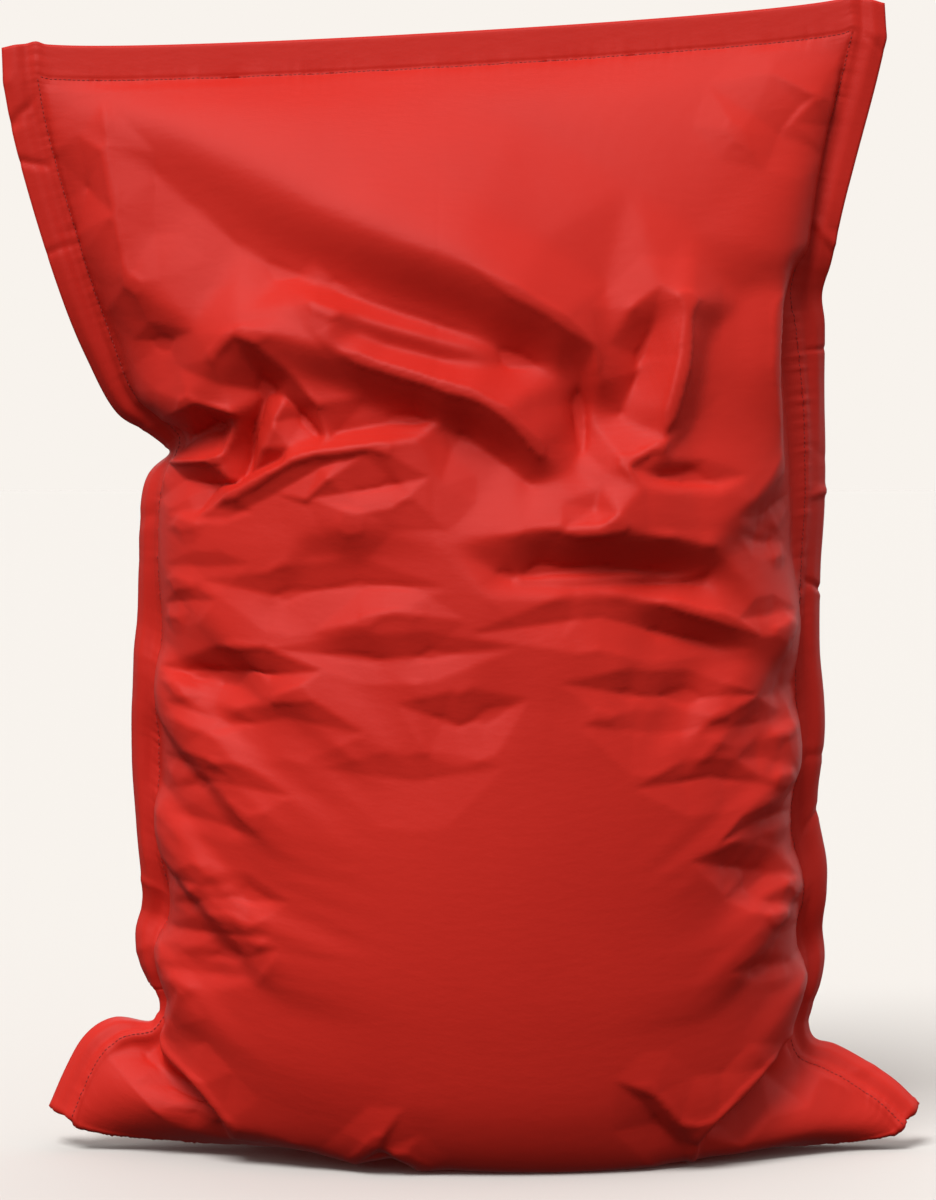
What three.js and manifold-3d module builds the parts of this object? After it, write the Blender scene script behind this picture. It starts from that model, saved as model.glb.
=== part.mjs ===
// A pillow-type bean bag chair, standing on one short edge.
// Two cut panels are sewn together inside a flat border (the flange) that runs all the way round.
// The back panel is in two pieces, with a zip between them under a hook-and-loop flap.
// Inside the cover is a liner bag with a zip of its own, and inside the liner are the beads.
// Millimetres, +Z up, front towards -Y, origin on the floor under the middle of the bounding box.
import * as THREE from "three";
import { mergeVertices } from "three/addons/utils/BufferGeometryUtils.js";
import Module from "manifold-3d";

const wasm = await Module();
wasm.setup();

// ---- driving dimensions ----
const FLANGE = 40; // from the panel's edge to the seam
const CLOTH = 1.2; // one layer of cover cloth with its hems
const LINER_CLOTH = 0.8;
const SEAM_GAP = 0.3; // between pieces that touch
const LINER_INSET = 8; // from the cover's outer face to the liner's
const FILL_INSET = 14;
const COLUMNS = 16; // cells across a panel, seam to seam
const ROWS = 24; // cells along a panel, seam to seam
const ZIP_ROW = 8; // the row of points that the zip's seam follows

// The closure, on a patch of the back that the zip keeps flat.
const BACK_Y = 188; // outer face of the flat patch
const ZIP_Z = 300;
const PATCH_HALF_WIDTH = 232;
const PATCH_HALF_HEIGHT = 100;
const PATCH_BLEND = 70;
const LEVEL_HALF_WIDTH = 194; // as far as the zip's seam runs level
const LEVEL_BLEND = 120;
const ZIP_HALF_LENGTH = 170;
const LINER_ZIP_HALF_LENGTH = 135;
const SLOT_HALF_HEIGHT = 6;

// The flap, cloth side out, and what is sewn to it and beside it. Heights are from the floor.
const FLAP_HALF_WIDTH = 188;
const FLAP_BOTTOM_Z = 262;
const FLAP_TOP_Z = 336.8;
const FLAP_STANDOFF = 4.4; // from the back to the flap's inner face
const FLAP_THICKNESS = 1.2;
const SEWN_EDGE = { bottom: 337, rollBottom: 341, rollTop: 346, top: 353 };
const STRIP = { halfLength: 180, bottom: 264, top: 282 }; // hook strip and loop strip alike
const LABEL = { left: 196, right: 226, bottom: 236, top: 304 };

const v3 = (x, y, z) => new THREE.Vector3(x, y, z);
const lerp = THREE.MathUtils.lerp;
const smoothstep = THREE.MathUtils.smoothstep;

function curveThrough(points) {
  const curve = new THREE.CatmullRomCurve3(points.map((p) => v3(...p)), false, "centripetal");
  curve.arcLengthDivisions = 800;
  return curve;
}

// ---- the standing shape: the two side seams and the middle lines of both panels ----
const leftSeam = curveThrough([
  [-446, 0, 36], // corner that points out along the floor
  [-430, 3, 80],
  [-412, 6, 115],
  [-384, 8, 142],
  [-358, 8, 156],
  [-347, 8, 200],
  [-344, 8, 290],
  [-351, 8, 450],
  [-348, 8, 610],
  [-348, 8, 730],
  [-336, 12, 790],
  [-340, 16, 820], // waist
  [-372, 14, 858],
  [-401, 10, 915],
  [-428, 10, 1000],
  [-456, 14, 1090],
  [-476, 18, 1165],
  [-486, 20, 1219],
]);
const rightSeam = curveThrough([
  [488, 0, 30],
  [464, 3, 58],
  [437, 6, 90],
  [402, 8, 112],
  [380, 8, 132],
  [374, 8, 190],
  [377, 8, 300],
  [369, 8, 378],
  [374, 8, 470],
  [371, 8, 560],
  [376, 8, 660],
  [383, 8, 740],
  [372, 10, 850],
  [357, 14, 935],
  [356, 16, 980], // waist
  [367, 12, 1020],
  [384, 12, 1075],
  [398, 14, 1130],
  [422, 18, 1220],
  [434, 20, 1271],
]);
const frontMiddle = curveThrough([
  [18, 0, 1],
  [18, -70, 0],
  [18, -122, 0],
  [18, -150, 10],
  [18, -178, 60],
  [17, -196, 160],
  [16, -202, 290],
  [15, -195, 430],
  [14, -180, 560],
  [12, -162, 680],
  [8, -150, 770],
  [2, -138, 860],
  [-8, -114, 960],
  [-18, -74, 1080],
  [-25, -22, 1180],
  [-28, 22, 1229],
]);
const backMiddle = curveThrough([
  [18, 0, 3],
  [18, 60, 3],
  [18, 84, 0],
  [18, 122, 0],
  [18, 148, 8],
  [18, 176, 62],
  [17, BACK_Y - 2, 150],
  [16, BACK_Y, 210],
  [15, BACK_Y, 400],
  [14, 182, 540],
  [12, 172, 670],
  [8, 162, 770],
  [2, 152, 860],
  [-8, 133, 970],
  [-18, 106, 1090],
  [-25, 62, 1182],
  [-28, 24, 1229],
]);

// How square a row's outline is: in depth, and in how fast it drops from the seams to the middle.
const depthPower = (v, back) => lerp(2.0, back ? 2.3 : 2.05, smoothstep(v, 0.02, 0.2));
const dropPower = (v) => lerp(2.6, 2.1, smoothstep(v, 0.05, 0.3));

// A point on the cover's outer face. u runs from -1 at the left seam to 1 at the right one,
// and v from 0 at the bottom seam to 1 at the top one.
function coverPoint(u, v, back) {
  const left = leftSeam.getPointAt(v);
  const right = rightSeam.getPointAt(v);
  const middle = (back ? backMiddle : frontMiddle).getPointAt(v);
  const angle = (u * Math.PI) / 2;
  const power = depthPower(v, back);
  const across = Math.sign(u) * Math.abs(Math.sin(angle)) ** (2 / power);
  const t = (1 + across) / 2;
  const depth = Math.max(0, Math.cos(angle)) ** (2 / power);
  const drop = Math.max(0, Math.cos(angle)) ** (2 / dropPower(v));
  const chord = left.clone().lerp(right, t);
  const centre = left.clone().lerp(right, 0.5);
  const p = v3(
    chord.x + drop * (middle.x - centre.x),
    chord.y + depth * (middle.y - centre.y),
    chord.z + drop * (middle.z - centre.z),
  );
  if (back && Math.abs(u) < 1) flattenPatch(p);
  return settleOnFloor(p, u, v, back);
}

function flattenPatch(p) {
  if (p.y < 0) return;
  const beside = Math.abs(p.x) - PATCH_HALF_WIDTH;
  const above = Math.abs(p.z - ZIP_Z) - PATCH_HALF_HEIGHT;
  const share = (1 - smoothstep(beside, 0, PATCH_BLEND)) * (1 - smoothstep(above, 0, PATCH_BLEND));
  p.y = lerp(p.y, BACK_Y, share);
}

// The base is flat on the floor, apart from a shallow recess over the flange that is turned under it.
const RECESS = 4;
const RECESS_REACH = 64;
const RECESS_ROWS = 0.1;

function settleOnFloor(p, u, v, back) {
  if (v === 0) {
    p.z = Math.max(p.z - 1, 0) + CLOTH + SEAM_GAP / 2;
    return p;
  }
  if (back && p.y < RECESS_REACH && v < RECESS_ROWS) {
    const seam = coverPoint(u, 0, false);
    p.z = Math.max(p.z, seam.z + CLOTH + RECESS);
    return p;
  }
  p.z = p.z < 1.5 ? 0 : p.z;
  return p;
}

const columnAt = (i) => -1 + (2 * i) / COLUMNS;
const rowAt = (j) => j / ROWS;
const grid = (rows, columns, at) =>
  Array.from({ length: rows + 1 }, (_, j) => Array.from({ length: columns + 1 }, (_, i) => at(i, j)));

// The zip's seam is level across the flat patch, and follows the cut's own line beyond it.
function levelZipSeam(p) {
  const share = 1 - smoothstep(Math.abs(p.x) - LEVEL_HALF_WIDTH, 0, LEVEL_BLEND);
  p.z = lerp(p.z, ZIP_Z, share);
  return p;
}

const frontGrid = grid(ROWS, COLUMNS, (i, j) => coverPoint(columnAt(i), rowAt(j), false));
const backGrid = grid(ROWS, COLUMNS, (i, j) => coverPoint(columnAt(i), rowAt(j), true));
const onRing = (i, j) => i === 0 || j === 0 || i === COLUMNS || j === ROWS;
frontGrid.forEach((row, j) =>
  row.forEach((p, i) => {
    if (onRing(i, j)) backGrid[j][i] = p.clone();
    else if (j === ZIP_ROW) levelZipSeam(backGrid[j][i]);
  }),
);

function normalsOf(points, outward) {
  const normals = points.map((row) => row.map(() => v3(0, 0, 0)));
  const add = (a, b, c) => {
    const pa = points[a[0]][a[1]];
    const n = points[b[0]][b[1]].clone().sub(pa).cross(points[c[0]][c[1]].clone().sub(pa));
    [a, b, c].forEach(([j, i]) => normals[j][i].addScaledVector(n, outward));
  };
  for (let j = 0; j < points.length - 1; j++)
    for (let i = 0; i < points[0].length - 1; i++) {
      add([j, i], [j, i + 1], [j + 1, i + 1]);
      add([j, i], [j + 1, i + 1], [j + 1, i]);
    }
  return normals.map((row) => row.map((n) => n.normalize()));
}
const frontNormals = normalsOf(frontGrid, 1);
const backNormals = normalsOf(backGrid, -1);

// ---- the flange: which way it points from the seam, and the way its front face looks ----
const bendBack = (v) =>
  lerp(20, 52, smoothstep(v, 0.02, 0.16)) +
  20 * smoothstep(v, 0.5, 0.62) * (1 - smoothstep(v, 0.66, 0.78)) -
  48 * smoothstep(v, 0.66, 0.86);

const TOP_FLANGE = { along: v3(-0.05, 0.14, 0.99), front: v3(0, -0.99, 0.14) };
const BOTTOM_FLANGE = { along: v3(0, 1, 0), front: v3(0, 0, -1) };

function sideFlange(seam, v, side) {
  const span = 0.04;
  const tangent = seam.getPointAt(Math.min(1, v + span)).sub(seam.getPointAt(Math.max(0, v - span)));
  const outward = v3(-tangent.z * side, 0, tangent.x * side).normalize();
  const bend = THREE.MathUtils.degToRad(bendBack(v));
  const along = outward.multiplyScalar(Math.cos(bend)).add(v3(0, Math.sin(bend), 0));
  const front = tangent.normalize().clone().cross(along).multiplyScalar(side).normalize();
  return { along, front };
}

function ringFlange(i, j) {
  const v = rowAt(j);
  const parts = [];
  if (i === 0) parts.push(sideFlange(leftSeam, v, 1));
  if (i === COLUMNS) parts.push(sideFlange(rightSeam, v, -1));
  if (j === ROWS) parts.push(TOP_FLANGE);
  if (j === 0) parts.push(BOTTOM_FLANGE);
  const along = parts.reduce((sum, p) => sum.add(p.along), v3(0, 0, 0));
  const front = parts.reduce((sum, p) => sum.add(p.front), v3(0, 0, 0)).normalize();
  return { along, front };
}

// ---- closed shells from an outer and an inner grid of points ----
function solidFromGrids(outer, inner, flip) {
  const rows = outer.length;
  const columns = outer[0].length;
  const positions = [...outer.flat(), ...inner.flat()].flatMap((p) => p.toArray());
  const index = [];
  const at = (j, i, layer) => layer * rows * columns + j * columns + i;
  const quad = (a, b, c, d) => (flip ? index.push(a, c, b, a, d, c) : index.push(a, b, c, a, c, d));
  for (let j = 0; j < rows - 1; j++)
    for (let i = 0; i < columns - 1; i++) {
      quad(at(j, i, 0), at(j, i + 1, 0), at(j + 1, i + 1, 0), at(j + 1, i, 0));
      quad(at(j, i, 1), at(j + 1, i, 1), at(j + 1, i + 1, 1), at(j, i + 1, 1));
    }
  for (let i = 0; i < columns - 1; i++) {
    quad(at(0, i + 1, 1), at(0, i + 1, 0), at(0, i, 0), at(0, i, 1));
    quad(at(rows - 1, i, 0), at(rows - 1, i + 1, 0), at(rows - 1, i + 1, 1), at(rows - 1, i, 1));
  }
  for (let j = 0; j < rows - 1; j++) {
    quad(at(j, 0, 0), at(j + 1, 0, 0), at(j + 1, 0, 1), at(j, 0, 1));
    quad(at(j, columns - 1, 1), at(j + 1, columns - 1, 1), at(j + 1, columns - 1, 0), at(j, columns - 1, 0));
  }
  const geometry = new THREE.BufferGeometry();
  geometry.setAttribute("position", new THREE.BufferAttribute(new Float32Array(positions), 3));
  geometry.setIndex(index);
  return geometry;
}

// Where the cloth turns at the seam, its thickness runs half way between the two sides' normals.
function mitre(flangeNormal, bodyNormal) {
  const middle = flangeNormal.clone().add(bodyNormal).normalize();
  return middle.multiplyScalar(1 / Math.max(middle.dot(flangeNormal), 0.4));
}

// Along the bottom seam the back panel doubles back over its own flange, its outer face inside the fold.
function turnedBack(p, outward, along, offset) {
  return p.addScaledVector(outward, CLOTH / 2).addScaledVector(along, SEAM_GAP * 2 + offset);
}

// A cover panel's two faces: its body, and one more row or column on each side for the flange.
function coverLayers(points, normals, side) {
  const layer = (offset) =>
    grid(ROWS + 2, COLUMNS + 2, (column, row) => {
      const i = THREE.MathUtils.clamp(column - 1, 0, COLUMNS);
      const j = THREE.MathUtils.clamp(row - 1, 0, ROWS);
      if (!onRing(i, j)) return points[j][i].clone().addScaledVector(normals[j][i], offset - CLOTH);
      const { along, front } = ringFlange(i, j);
      const outward = front.multiplyScalar(side);
      const p = points[j][i].clone().addScaledVector(outward, SEAM_GAP / 2);
      const onFlange = column !== i + 1 || row !== j + 1;
      if (onFlange) {
        p.addScaledVector(flangeReach(i, j, column, row, along), FLANGE);
        return p.addScaledVector(outward, offset);
      }
      if (side < 0 && j === 0 && i > 0 && i < COLUMNS) return turnedBack(p, outward, along, offset);
      return p.addScaledVector(mitre(outward, normals[j][i]), offset);
    });
  return [layer(CLOTH), layer(0)];
}

// Past a corner of the seam the flange reaches sideways only, up or down only, or both.
function flangeReach(i, j, column, row, along) {
  const corner = (i === 0 || i === COLUMNS) && (j === 0 || j === ROWS);
  if (!corner) return along;
  const sideways = column !== i + 1;
  const lengthways = row !== j + 1;
  if (sideways && lengthways) return along;
  if (sideways) return sideFlange(i === 0 ? leftSeam : rightSeam, rowAt(j), i === 0 ? 1 : -1).along;
  return (j === 0 ? BOTTOM_FLANGE : TOP_FLANGE).along;
}

// The liner stops one cell short of the seams, and the fill two cells.
const LINER_MARGIN = 1;
const FILL_MARGIN = 2;
const innerGrid = (margin, at) =>
  grid(ROWS - 2 * margin, COLUMNS - 2 * margin, (i, j) => at(i + margin, j + margin));
const onInnerRing = (margin, i, j) =>
  i === margin || j === margin || i === COLUMNS - margin || j === ROWS - margin;

function drawnIn(i, j, distance, back) {
  const normal = (back ? backNormals : frontNormals)[j][i];
  return (back ? backGrid : frontGrid)[j][i].clone().addScaledVector(normal, -distance);
}

// A point of the cover's shape drawn in by a distance. On the ring the two faces meet half way.
function insetPoint(margin, i, j, distance, back) {
  if (!onInnerRing(margin, i, j)) return drawnIn(i, j, distance, back);
  return drawnIn(i, j, distance, false).lerp(drawnIn(i, j, distance, true), 0.5);
}

function linerLayers(back) {
  const side = back ? -1 : 1;
  const apart = (i, j) => drawnIn(i, j, 0, false).sub(drawnIn(i, j, 0, true)).normalize();
  const layer = (offset) =>
    innerGrid(LINER_MARGIN, (i, j) => {
      if (!onInnerRing(LINER_MARGIN, i, j)) {
        return insetPoint(LINER_MARGIN, i, j, LINER_INSET + offset, back);
      }
      const p = insetPoint(LINER_MARGIN, i, j, LINER_INSET + LINER_CLOTH, back);
      return p.addScaledVector(apart(i, j), side * (SEAM_GAP / 2 + LINER_CLOTH - offset));
    });
  return [layer(0), layer(LINER_CLOTH)];
}

function fillBody() {
  const layer = (back) =>
    innerGrid(FILL_MARGIN, (i, j) => insetPoint(FILL_MARGIN, i, j, FILL_INSET, back));
  return mergeVertices(solidFromGrids(layer(false), layer(true), false), 1e-4);
}

// ---- booleans ----
function toManifold(geometry) {
  const bare = geometry.clone();
  bare.deleteAttribute("normal");
  bare.deleteAttribute("uv");
  const merged = mergeVertices(bare, 1e-4);
  return new wasm.Manifold(
    new wasm.Mesh({
      numProp: 3,
      vertProperties: new Float32Array(merged.attributes.position.array),
      triVerts: new Uint32Array(merged.index.array),
    }),
  );
}

function toGeometry(solid) {
  const mesh = solid.getMesh();
  const geometry = new THREE.BufferGeometry();
  const positions = new Float32Array(mesh.numVert * 3);
  for (let i = 0; i < mesh.numVert; i++)
    positions.set(mesh.vertProperties.subarray(i * mesh.numProp, i * mesh.numProp + 3), i * 3);
  geometry.setAttribute("position", new THREE.BufferAttribute(positions, 3));
  geometry.setIndex(new THREE.BufferAttribute(new Uint32Array(mesh.triVerts), 1));
  return geometry;
}

// A box between two corners.
function block(low, high) {
  const size = high.map((h, k) => h - low[k]);
  const geometry = new THREE.BoxGeometry(...size);
  return geometry.translate(...low.map((l, k) => l + size[k] / 2));
}

// A back panel in two pieces that meet along one row of points, with a slot for the zip's teeth.
function splitAtZip(layers, row, halfLength) {
  const slot = toManifold(
    block(
      [-halfLength, BACK_Y - 20, ZIP_Z - SLOT_HALF_HEIGHT],
      [halfLength, BACK_Y + 20, ZIP_Z + SLOT_HALF_HEIGHT],
    ),
  );
  const shifted = (points, up) => points.map((p) => p.clone().add(v3(0, 0, (up * SEAM_GAP) / 2)));
  const piece = (rows, up) => {
    const [outer, inner] = layers.map((layer) => rows(layer, shifted(layer[row], up)));
    return toGeometry(toManifold(solidFromGrids(outer, inner, true)).subtract(slot));
  };
  return {
    lower: piece((layer, edge) => [...layer.slice(0, row), edge], -1),
    upper: piece((layer, edge) => [edge, ...layer.slice(row + 1)], 1),
  };
}

// ---- zips: tapes, tooth rows, slider and stops. y is the outer face of the cloth they are sewn to ----
const TAPE_THICKNESS = 0.8;
const TAPE_WIDTH = 18;
const TOOTH_ROW_GAP = 1;
const TOOTH_ROW_HEIGHT = 3;
const TOOTH_ROW_DEPTH = 2.2;
const TAPE_OVERRUN = 10; // past the end of the teeth
const SLIDER_LENGTH = 11;
const SLIDER_HALF_WIDTH = 4.8;
const SLIDER_PLATE = 1;
const STOP_HALF_LENGTH = 1.6;
const STOP_DEPTH = 2.4;

const tapeFace = (y, cloth) => y - cloth - SEAM_GAP;

function zipTape(y, cloth, halfLength, up) {
  const face = tapeFace(y, cloth);
  const near = ZIP_Z + up * (TOOTH_ROW_GAP / 2);
  const far = near + up * TAPE_WIDTH;
  const end = halfLength + TAPE_OVERRUN;
  return block([-end, face - TAPE_THICKNESS, Math.min(near, far)], [end, face, Math.max(near, far)]);
}

function toothRow(y, cloth, halfLength, up) {
  const profile = new THREE.Shape();
  profile.absellipse(0, 0, TOOTH_ROW_DEPTH / 2, TOOTH_ROW_HEIGHT / 2, 0, Math.PI * 2);
  const options = { depth: 2 * halfLength, bevelEnabled: false, curveSegments: 6 };
  const row = new THREE.ExtrudeGeometry(profile, options);
  row.translate(0, 0, -halfLength);
  row.rotateY(Math.PI / 2);
  row.rotateX(Math.PI / 2);
  const z = ZIP_Z + up * (TOOTH_ROW_GAP / 2 + TOOTH_ROW_HEIGHT / 2);
  return row.translate(0, tapeFace(y, cloth) + SEAM_GAP + TOOTH_ROW_DEPTH / 2, z);
}

// The slider's outline from outside: wider at the end where the teeth come apart.
function sliderOutline() {
  const half = SLIDER_HALF_WIDTH;
  const end = SLIDER_LENGTH / 2;
  const narrow = 0.72 * half;
  const outline = new THREE.Shape();
  outline.moveTo(-end, -narrow);
  outline.quadraticCurveTo(0, -half, end, -half);
  outline.lineTo(end, half);
  outline.quadraticCurveTo(0, half, -end, narrow);
  outline.closePath();
  return outline;
}

// Two plates with a neck between them, a rail on each side of the teeth, and a lug for a pull.
function zipSlider(y, cloth, x) {
  const face = tapeFace(y, cloth);
  const innerPlate = face - TAPE_THICKNESS - SEAM_GAP;
  const outerPlate = face + 2 * SEAM_GAP + TOOTH_ROW_DEPTH;
  const plate = (low) =>
    new THREE.ExtrudeGeometry(sliderOutline(), { depth: SLIDER_PLATE, bevelEnabled: false, curveSegments: 6 })
      .rotateX(-Math.PI / 2)
      .translate(x, low, ZIP_Z);
  const rail = (up) => {
    const near = ZIP_Z + up * (TOOTH_ROW_GAP / 2 + TOOTH_ROW_HEIGHT + SEAM_GAP);
    const far = ZIP_Z + up * SLIDER_HALF_WIDTH;
    const low = [x + 0.2, face + SEAM_GAP, Math.min(near, far)];
    return block(low, [x + SLIDER_LENGTH / 2, outerPlate + 0.5, Math.max(near, far)]);
  };
  const neck = block([x + 1, innerPlate - 0.6, ZIP_Z - 0.2], [x + 4.5, outerPlate + 0.6, ZIP_Z + 0.2]);
  const lug = block([x - 3, outerPlate + 0.5, ZIP_Z - 1], [x + 3, outerPlate + 1.7, ZIP_Z + 1]);
  const shapes = [plate(outerPlate), plate(innerPlate - SLIDER_PLATE), rail(1), rail(-1), neck, lug];
  return toGeometry(shapes.map(toManifold).reduce((joined, shape) => joined.add(shape)));
}

function zipStop(y, cloth, x, halfHeight, z) {
  const face = tapeFace(y, cloth);
  const low = [x - STOP_HALF_LENGTH, face + SEAM_GAP, z - halfHeight];
  return block(low, [x + STOP_HALF_LENGTH, face + STOP_DEPTH, z + halfHeight]);
}

// ---- the flap over the zip, its hook-and-loop strips and the care label ----
// A strip on the back: its half length, its bottom and top, and where its two faces are, out from the back.
function strip(halfLength, bottom, top, inner, outer) {
  return block([-halfLength, BACK_Y + inner, bottom], [halfLength, BACK_Y + outer, top]);
}

const flapPiece = () =>
  strip(FLAP_HALF_WIDTH, FLAP_BOTTOM_Z, FLAP_TOP_Z, FLAP_STANDOFF, FLAP_STANDOFF + FLAP_THICKNESS);

// The part of the flap's cloth that is sewn down, with the roll of its fold along the lower edge.
function flapSewnEdge() {
  const sewn = strip(FLAP_HALF_WIDTH, SEWN_EDGE.bottom, SEWN_EDGE.top, SEAM_GAP, 1.5);
  const roll = strip(FLAP_HALF_WIDTH, SEWN_EDGE.rollBottom, SEWN_EDGE.rollTop, 1, 2.9);
  return toGeometry(toManifold(sewn).add(toManifold(roll)));
}

const loopStrip = () => strip(STRIP.halfLength, STRIP.bottom, STRIP.top, SEAM_GAP, 2.3);
const hookStrip = () => strip(STRIP.halfLength, STRIP.bottom, STRIP.top, 2.6, 4.1);
const careLabel = () =>
  block([LABEL.left, BACK_Y + SEAM_GAP, LABEL.bottom], [LABEL.right, BACK_Y + 1.1, LABEL.top]);

// ---- materials ----
const material = (color, roughness, metalness = 0) =>
  new THREE.MeshStandardMaterial({ color, roughness, metalness });
const coverCloth = material(0xc8281f, 0.5);
const linerCloth = material(0xe9e7e1, 0.9);
const beads = material(0xf6f6f4, 0.85);
const zipCloth = material(0xa81d17, 0.85);
const zipPlastic = material(0xb0201a, 0.45);
const zipMetal = material(0x9a9a9c, 0.35, 0.9);
const hookAndLoop = material(0x9c1b16, 0.95);
const labelCloth = material(0xf2f1ee, 0.8);

// ---- assembly ----
const bag = new THREE.Group();
function place(name, geometry, look) {
  const mesh = new THREE.Mesh(geometry, look);
  mesh.name = name;
  bag.add(mesh);
}

const back = splitAtZip(coverLayers(backGrid, backNormals, -1), ZIP_ROW + 1, ZIP_HALF_LENGTH + 4);
place("front_panel", solidFromGrids(...coverLayers(frontGrid, frontNormals, 1), false), coverCloth);
place("back_panel_upper", back.upper, coverCloth);
place("back_panel_lower", back.lower, coverCloth);

const liner = splitAtZip(linerLayers(true), ZIP_ROW - LINER_MARGIN, LINER_ZIP_HALF_LENGTH + 4);
place("liner_front", solidFromGrids(...linerLayers(false), false), linerCloth);
place("liner_back_upper", liner.upper, linerCloth);
place("liner_back_lower", liner.lower, linerCloth);
place("bead_fill", fillBody(), beads);

place("zip_flap", flapPiece(), coverCloth);
place("flap_sewn_edge", flapSewnEdge(), coverCloth);
place("hook_strip", hookStrip(), hookAndLoop);
place("loop_strip", loopStrip(), hookAndLoop);
place("care_label", careLabel(), labelCloth);

const zips = [
  { name: "zip", y: BACK_Y, cloth: CLOTH, half: ZIP_HALF_LENGTH },
  { name: "liner_zip", y: BACK_Y - LINER_INSET, cloth: LINER_CLOTH, half: LINER_ZIP_HALF_LENGTH },
];
for (const { name, y, cloth, half } of zips) {
  for (const [side, up] of [["upper", 1], ["lower", -1]]) {
    place(`${name}_tape_${side}`, zipTape(y, cloth, half, up), zipCloth);
    place(`${name}_teeth_${side}`, toothRow(y, cloth, half - 2, up), zipPlastic);
    place(`${name}_top_stop_${side}`, zipStop(y, cloth, half, 1.6, ZIP_Z + up * 2), zipMetal);
  }
  place(`${name}_bottom_stop`, zipStop(y, cloth, -half, 3.6, ZIP_Z), zipMetal);
  place(`${name}_slider`, zipSlider(y, cloth, half - 9), zipMetal);
}

export default bag;
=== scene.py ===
"""A pillow-type bean bag chair in crisp red cloth, standing on one short edge.

The cover is worked out as real cloth: two flat panels of the cut size, sewn together inside a flat border,
are laid over the standing shape and relaxed until their threads have their true length again. Its folds are
then laid in along listed lines. Metres, +Z up, front towards -Y.
"""

import math

import bpy
import numpy as np
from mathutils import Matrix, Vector
from mathutils.geometry import delaunay_2d_cdt


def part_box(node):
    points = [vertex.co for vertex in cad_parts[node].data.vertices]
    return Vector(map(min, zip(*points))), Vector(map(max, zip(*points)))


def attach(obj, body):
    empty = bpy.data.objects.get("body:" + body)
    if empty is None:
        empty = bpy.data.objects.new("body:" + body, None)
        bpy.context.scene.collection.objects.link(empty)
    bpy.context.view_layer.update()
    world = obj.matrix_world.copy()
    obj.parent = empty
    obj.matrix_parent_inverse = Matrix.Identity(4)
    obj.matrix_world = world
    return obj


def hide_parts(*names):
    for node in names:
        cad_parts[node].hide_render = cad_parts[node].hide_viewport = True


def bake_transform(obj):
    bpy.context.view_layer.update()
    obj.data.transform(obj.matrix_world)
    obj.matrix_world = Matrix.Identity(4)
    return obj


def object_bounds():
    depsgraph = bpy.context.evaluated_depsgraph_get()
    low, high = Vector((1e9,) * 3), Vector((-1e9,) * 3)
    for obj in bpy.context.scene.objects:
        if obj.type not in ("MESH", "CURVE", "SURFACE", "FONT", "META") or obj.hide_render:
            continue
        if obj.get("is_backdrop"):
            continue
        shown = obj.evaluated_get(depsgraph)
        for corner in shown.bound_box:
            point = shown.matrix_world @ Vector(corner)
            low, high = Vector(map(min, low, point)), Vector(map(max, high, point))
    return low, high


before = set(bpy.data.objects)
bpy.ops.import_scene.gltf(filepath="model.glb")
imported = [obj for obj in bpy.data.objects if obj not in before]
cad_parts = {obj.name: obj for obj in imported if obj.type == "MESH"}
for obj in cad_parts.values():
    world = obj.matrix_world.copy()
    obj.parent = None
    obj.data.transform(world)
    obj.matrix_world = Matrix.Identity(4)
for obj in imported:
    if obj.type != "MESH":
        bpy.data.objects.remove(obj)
cad_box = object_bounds()

MM = 0.001
LEAST = 1e-9  # keeps a division away from nothing
CURVE_SAMPLES = 1500

# ---- the cut cloth ----
CUT_WIDTH = 1000 * MM
CUT_LENGTH = 1500 * MM
FLANGE = 40 * MM
CLOTH = 0.9 * MM
STITCH_PITCH = 5.3 * MM

# ---- the closure on the back, as the frame has it ----
PATCH_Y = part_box("loop_strip")[0].y - 0.3 * MM
ZIP_Z = (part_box("zip_teeth_lower")[1].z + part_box("zip_teeth_upper")[0].z) / 2
PATCH_HALF_WIDTH = 232 * MM
PATCH_HALF_HEIGHT = 100 * MM
PATCH_BLEND = 70 * MM


def smoothstep(x, low, high):
    t = np.clip((np.asarray(x, float) - low) / (high - low), 0, 1)
    return t * t * (3 - 2 * t)


def bell(x, middle, width):
    return np.exp(-(((x - middle) / width) ** 2))


def unit(vectors):
    return vectors / np.maximum(np.linalg.norm(vectors, axis=-1, keepdims=True), LEAST)


class Curve:
    """A smooth curve through points given in millimetres, read by its share of length."""

    def __init__(self, points):
        p = np.array(points, float) * MM
        knots = np.concatenate([[0], np.cumsum(np.sqrt(np.linalg.norm(np.diff(p, axis=0), axis=1)))])
        slope = np.gradient(p, knots, axis=0)
        fine = np.linspace(0, knots[-1], CURVE_SAMPLES)
        k = np.clip(np.searchsorted(knots, fine, side="right") - 1, 0, len(p) - 2)
        span = knots[k + 1] - knots[k]
        t = ((fine - knots[k]) / span)[:, None]
        span = span[:, None]
        self.points = (
            (2 * t**3 - 3 * t**2 + 1) * p[k]
            + (t**3 - 2 * t**2 + t) * span * slope[k]
            + (3 * t**2 - 2 * t**3) * p[k + 1]
            + (t**3 - t**2) * span * slope[k + 1]
        )
        run = np.concatenate([[0], np.cumsum(np.linalg.norm(np.diff(self.points, axis=0), axis=1))])
        self.share = run / run[-1]

    def at(self, share):
        return np.stack([np.interp(share, self.share, self.points[:, k]) for k in range(3)], axis=-1)


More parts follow.
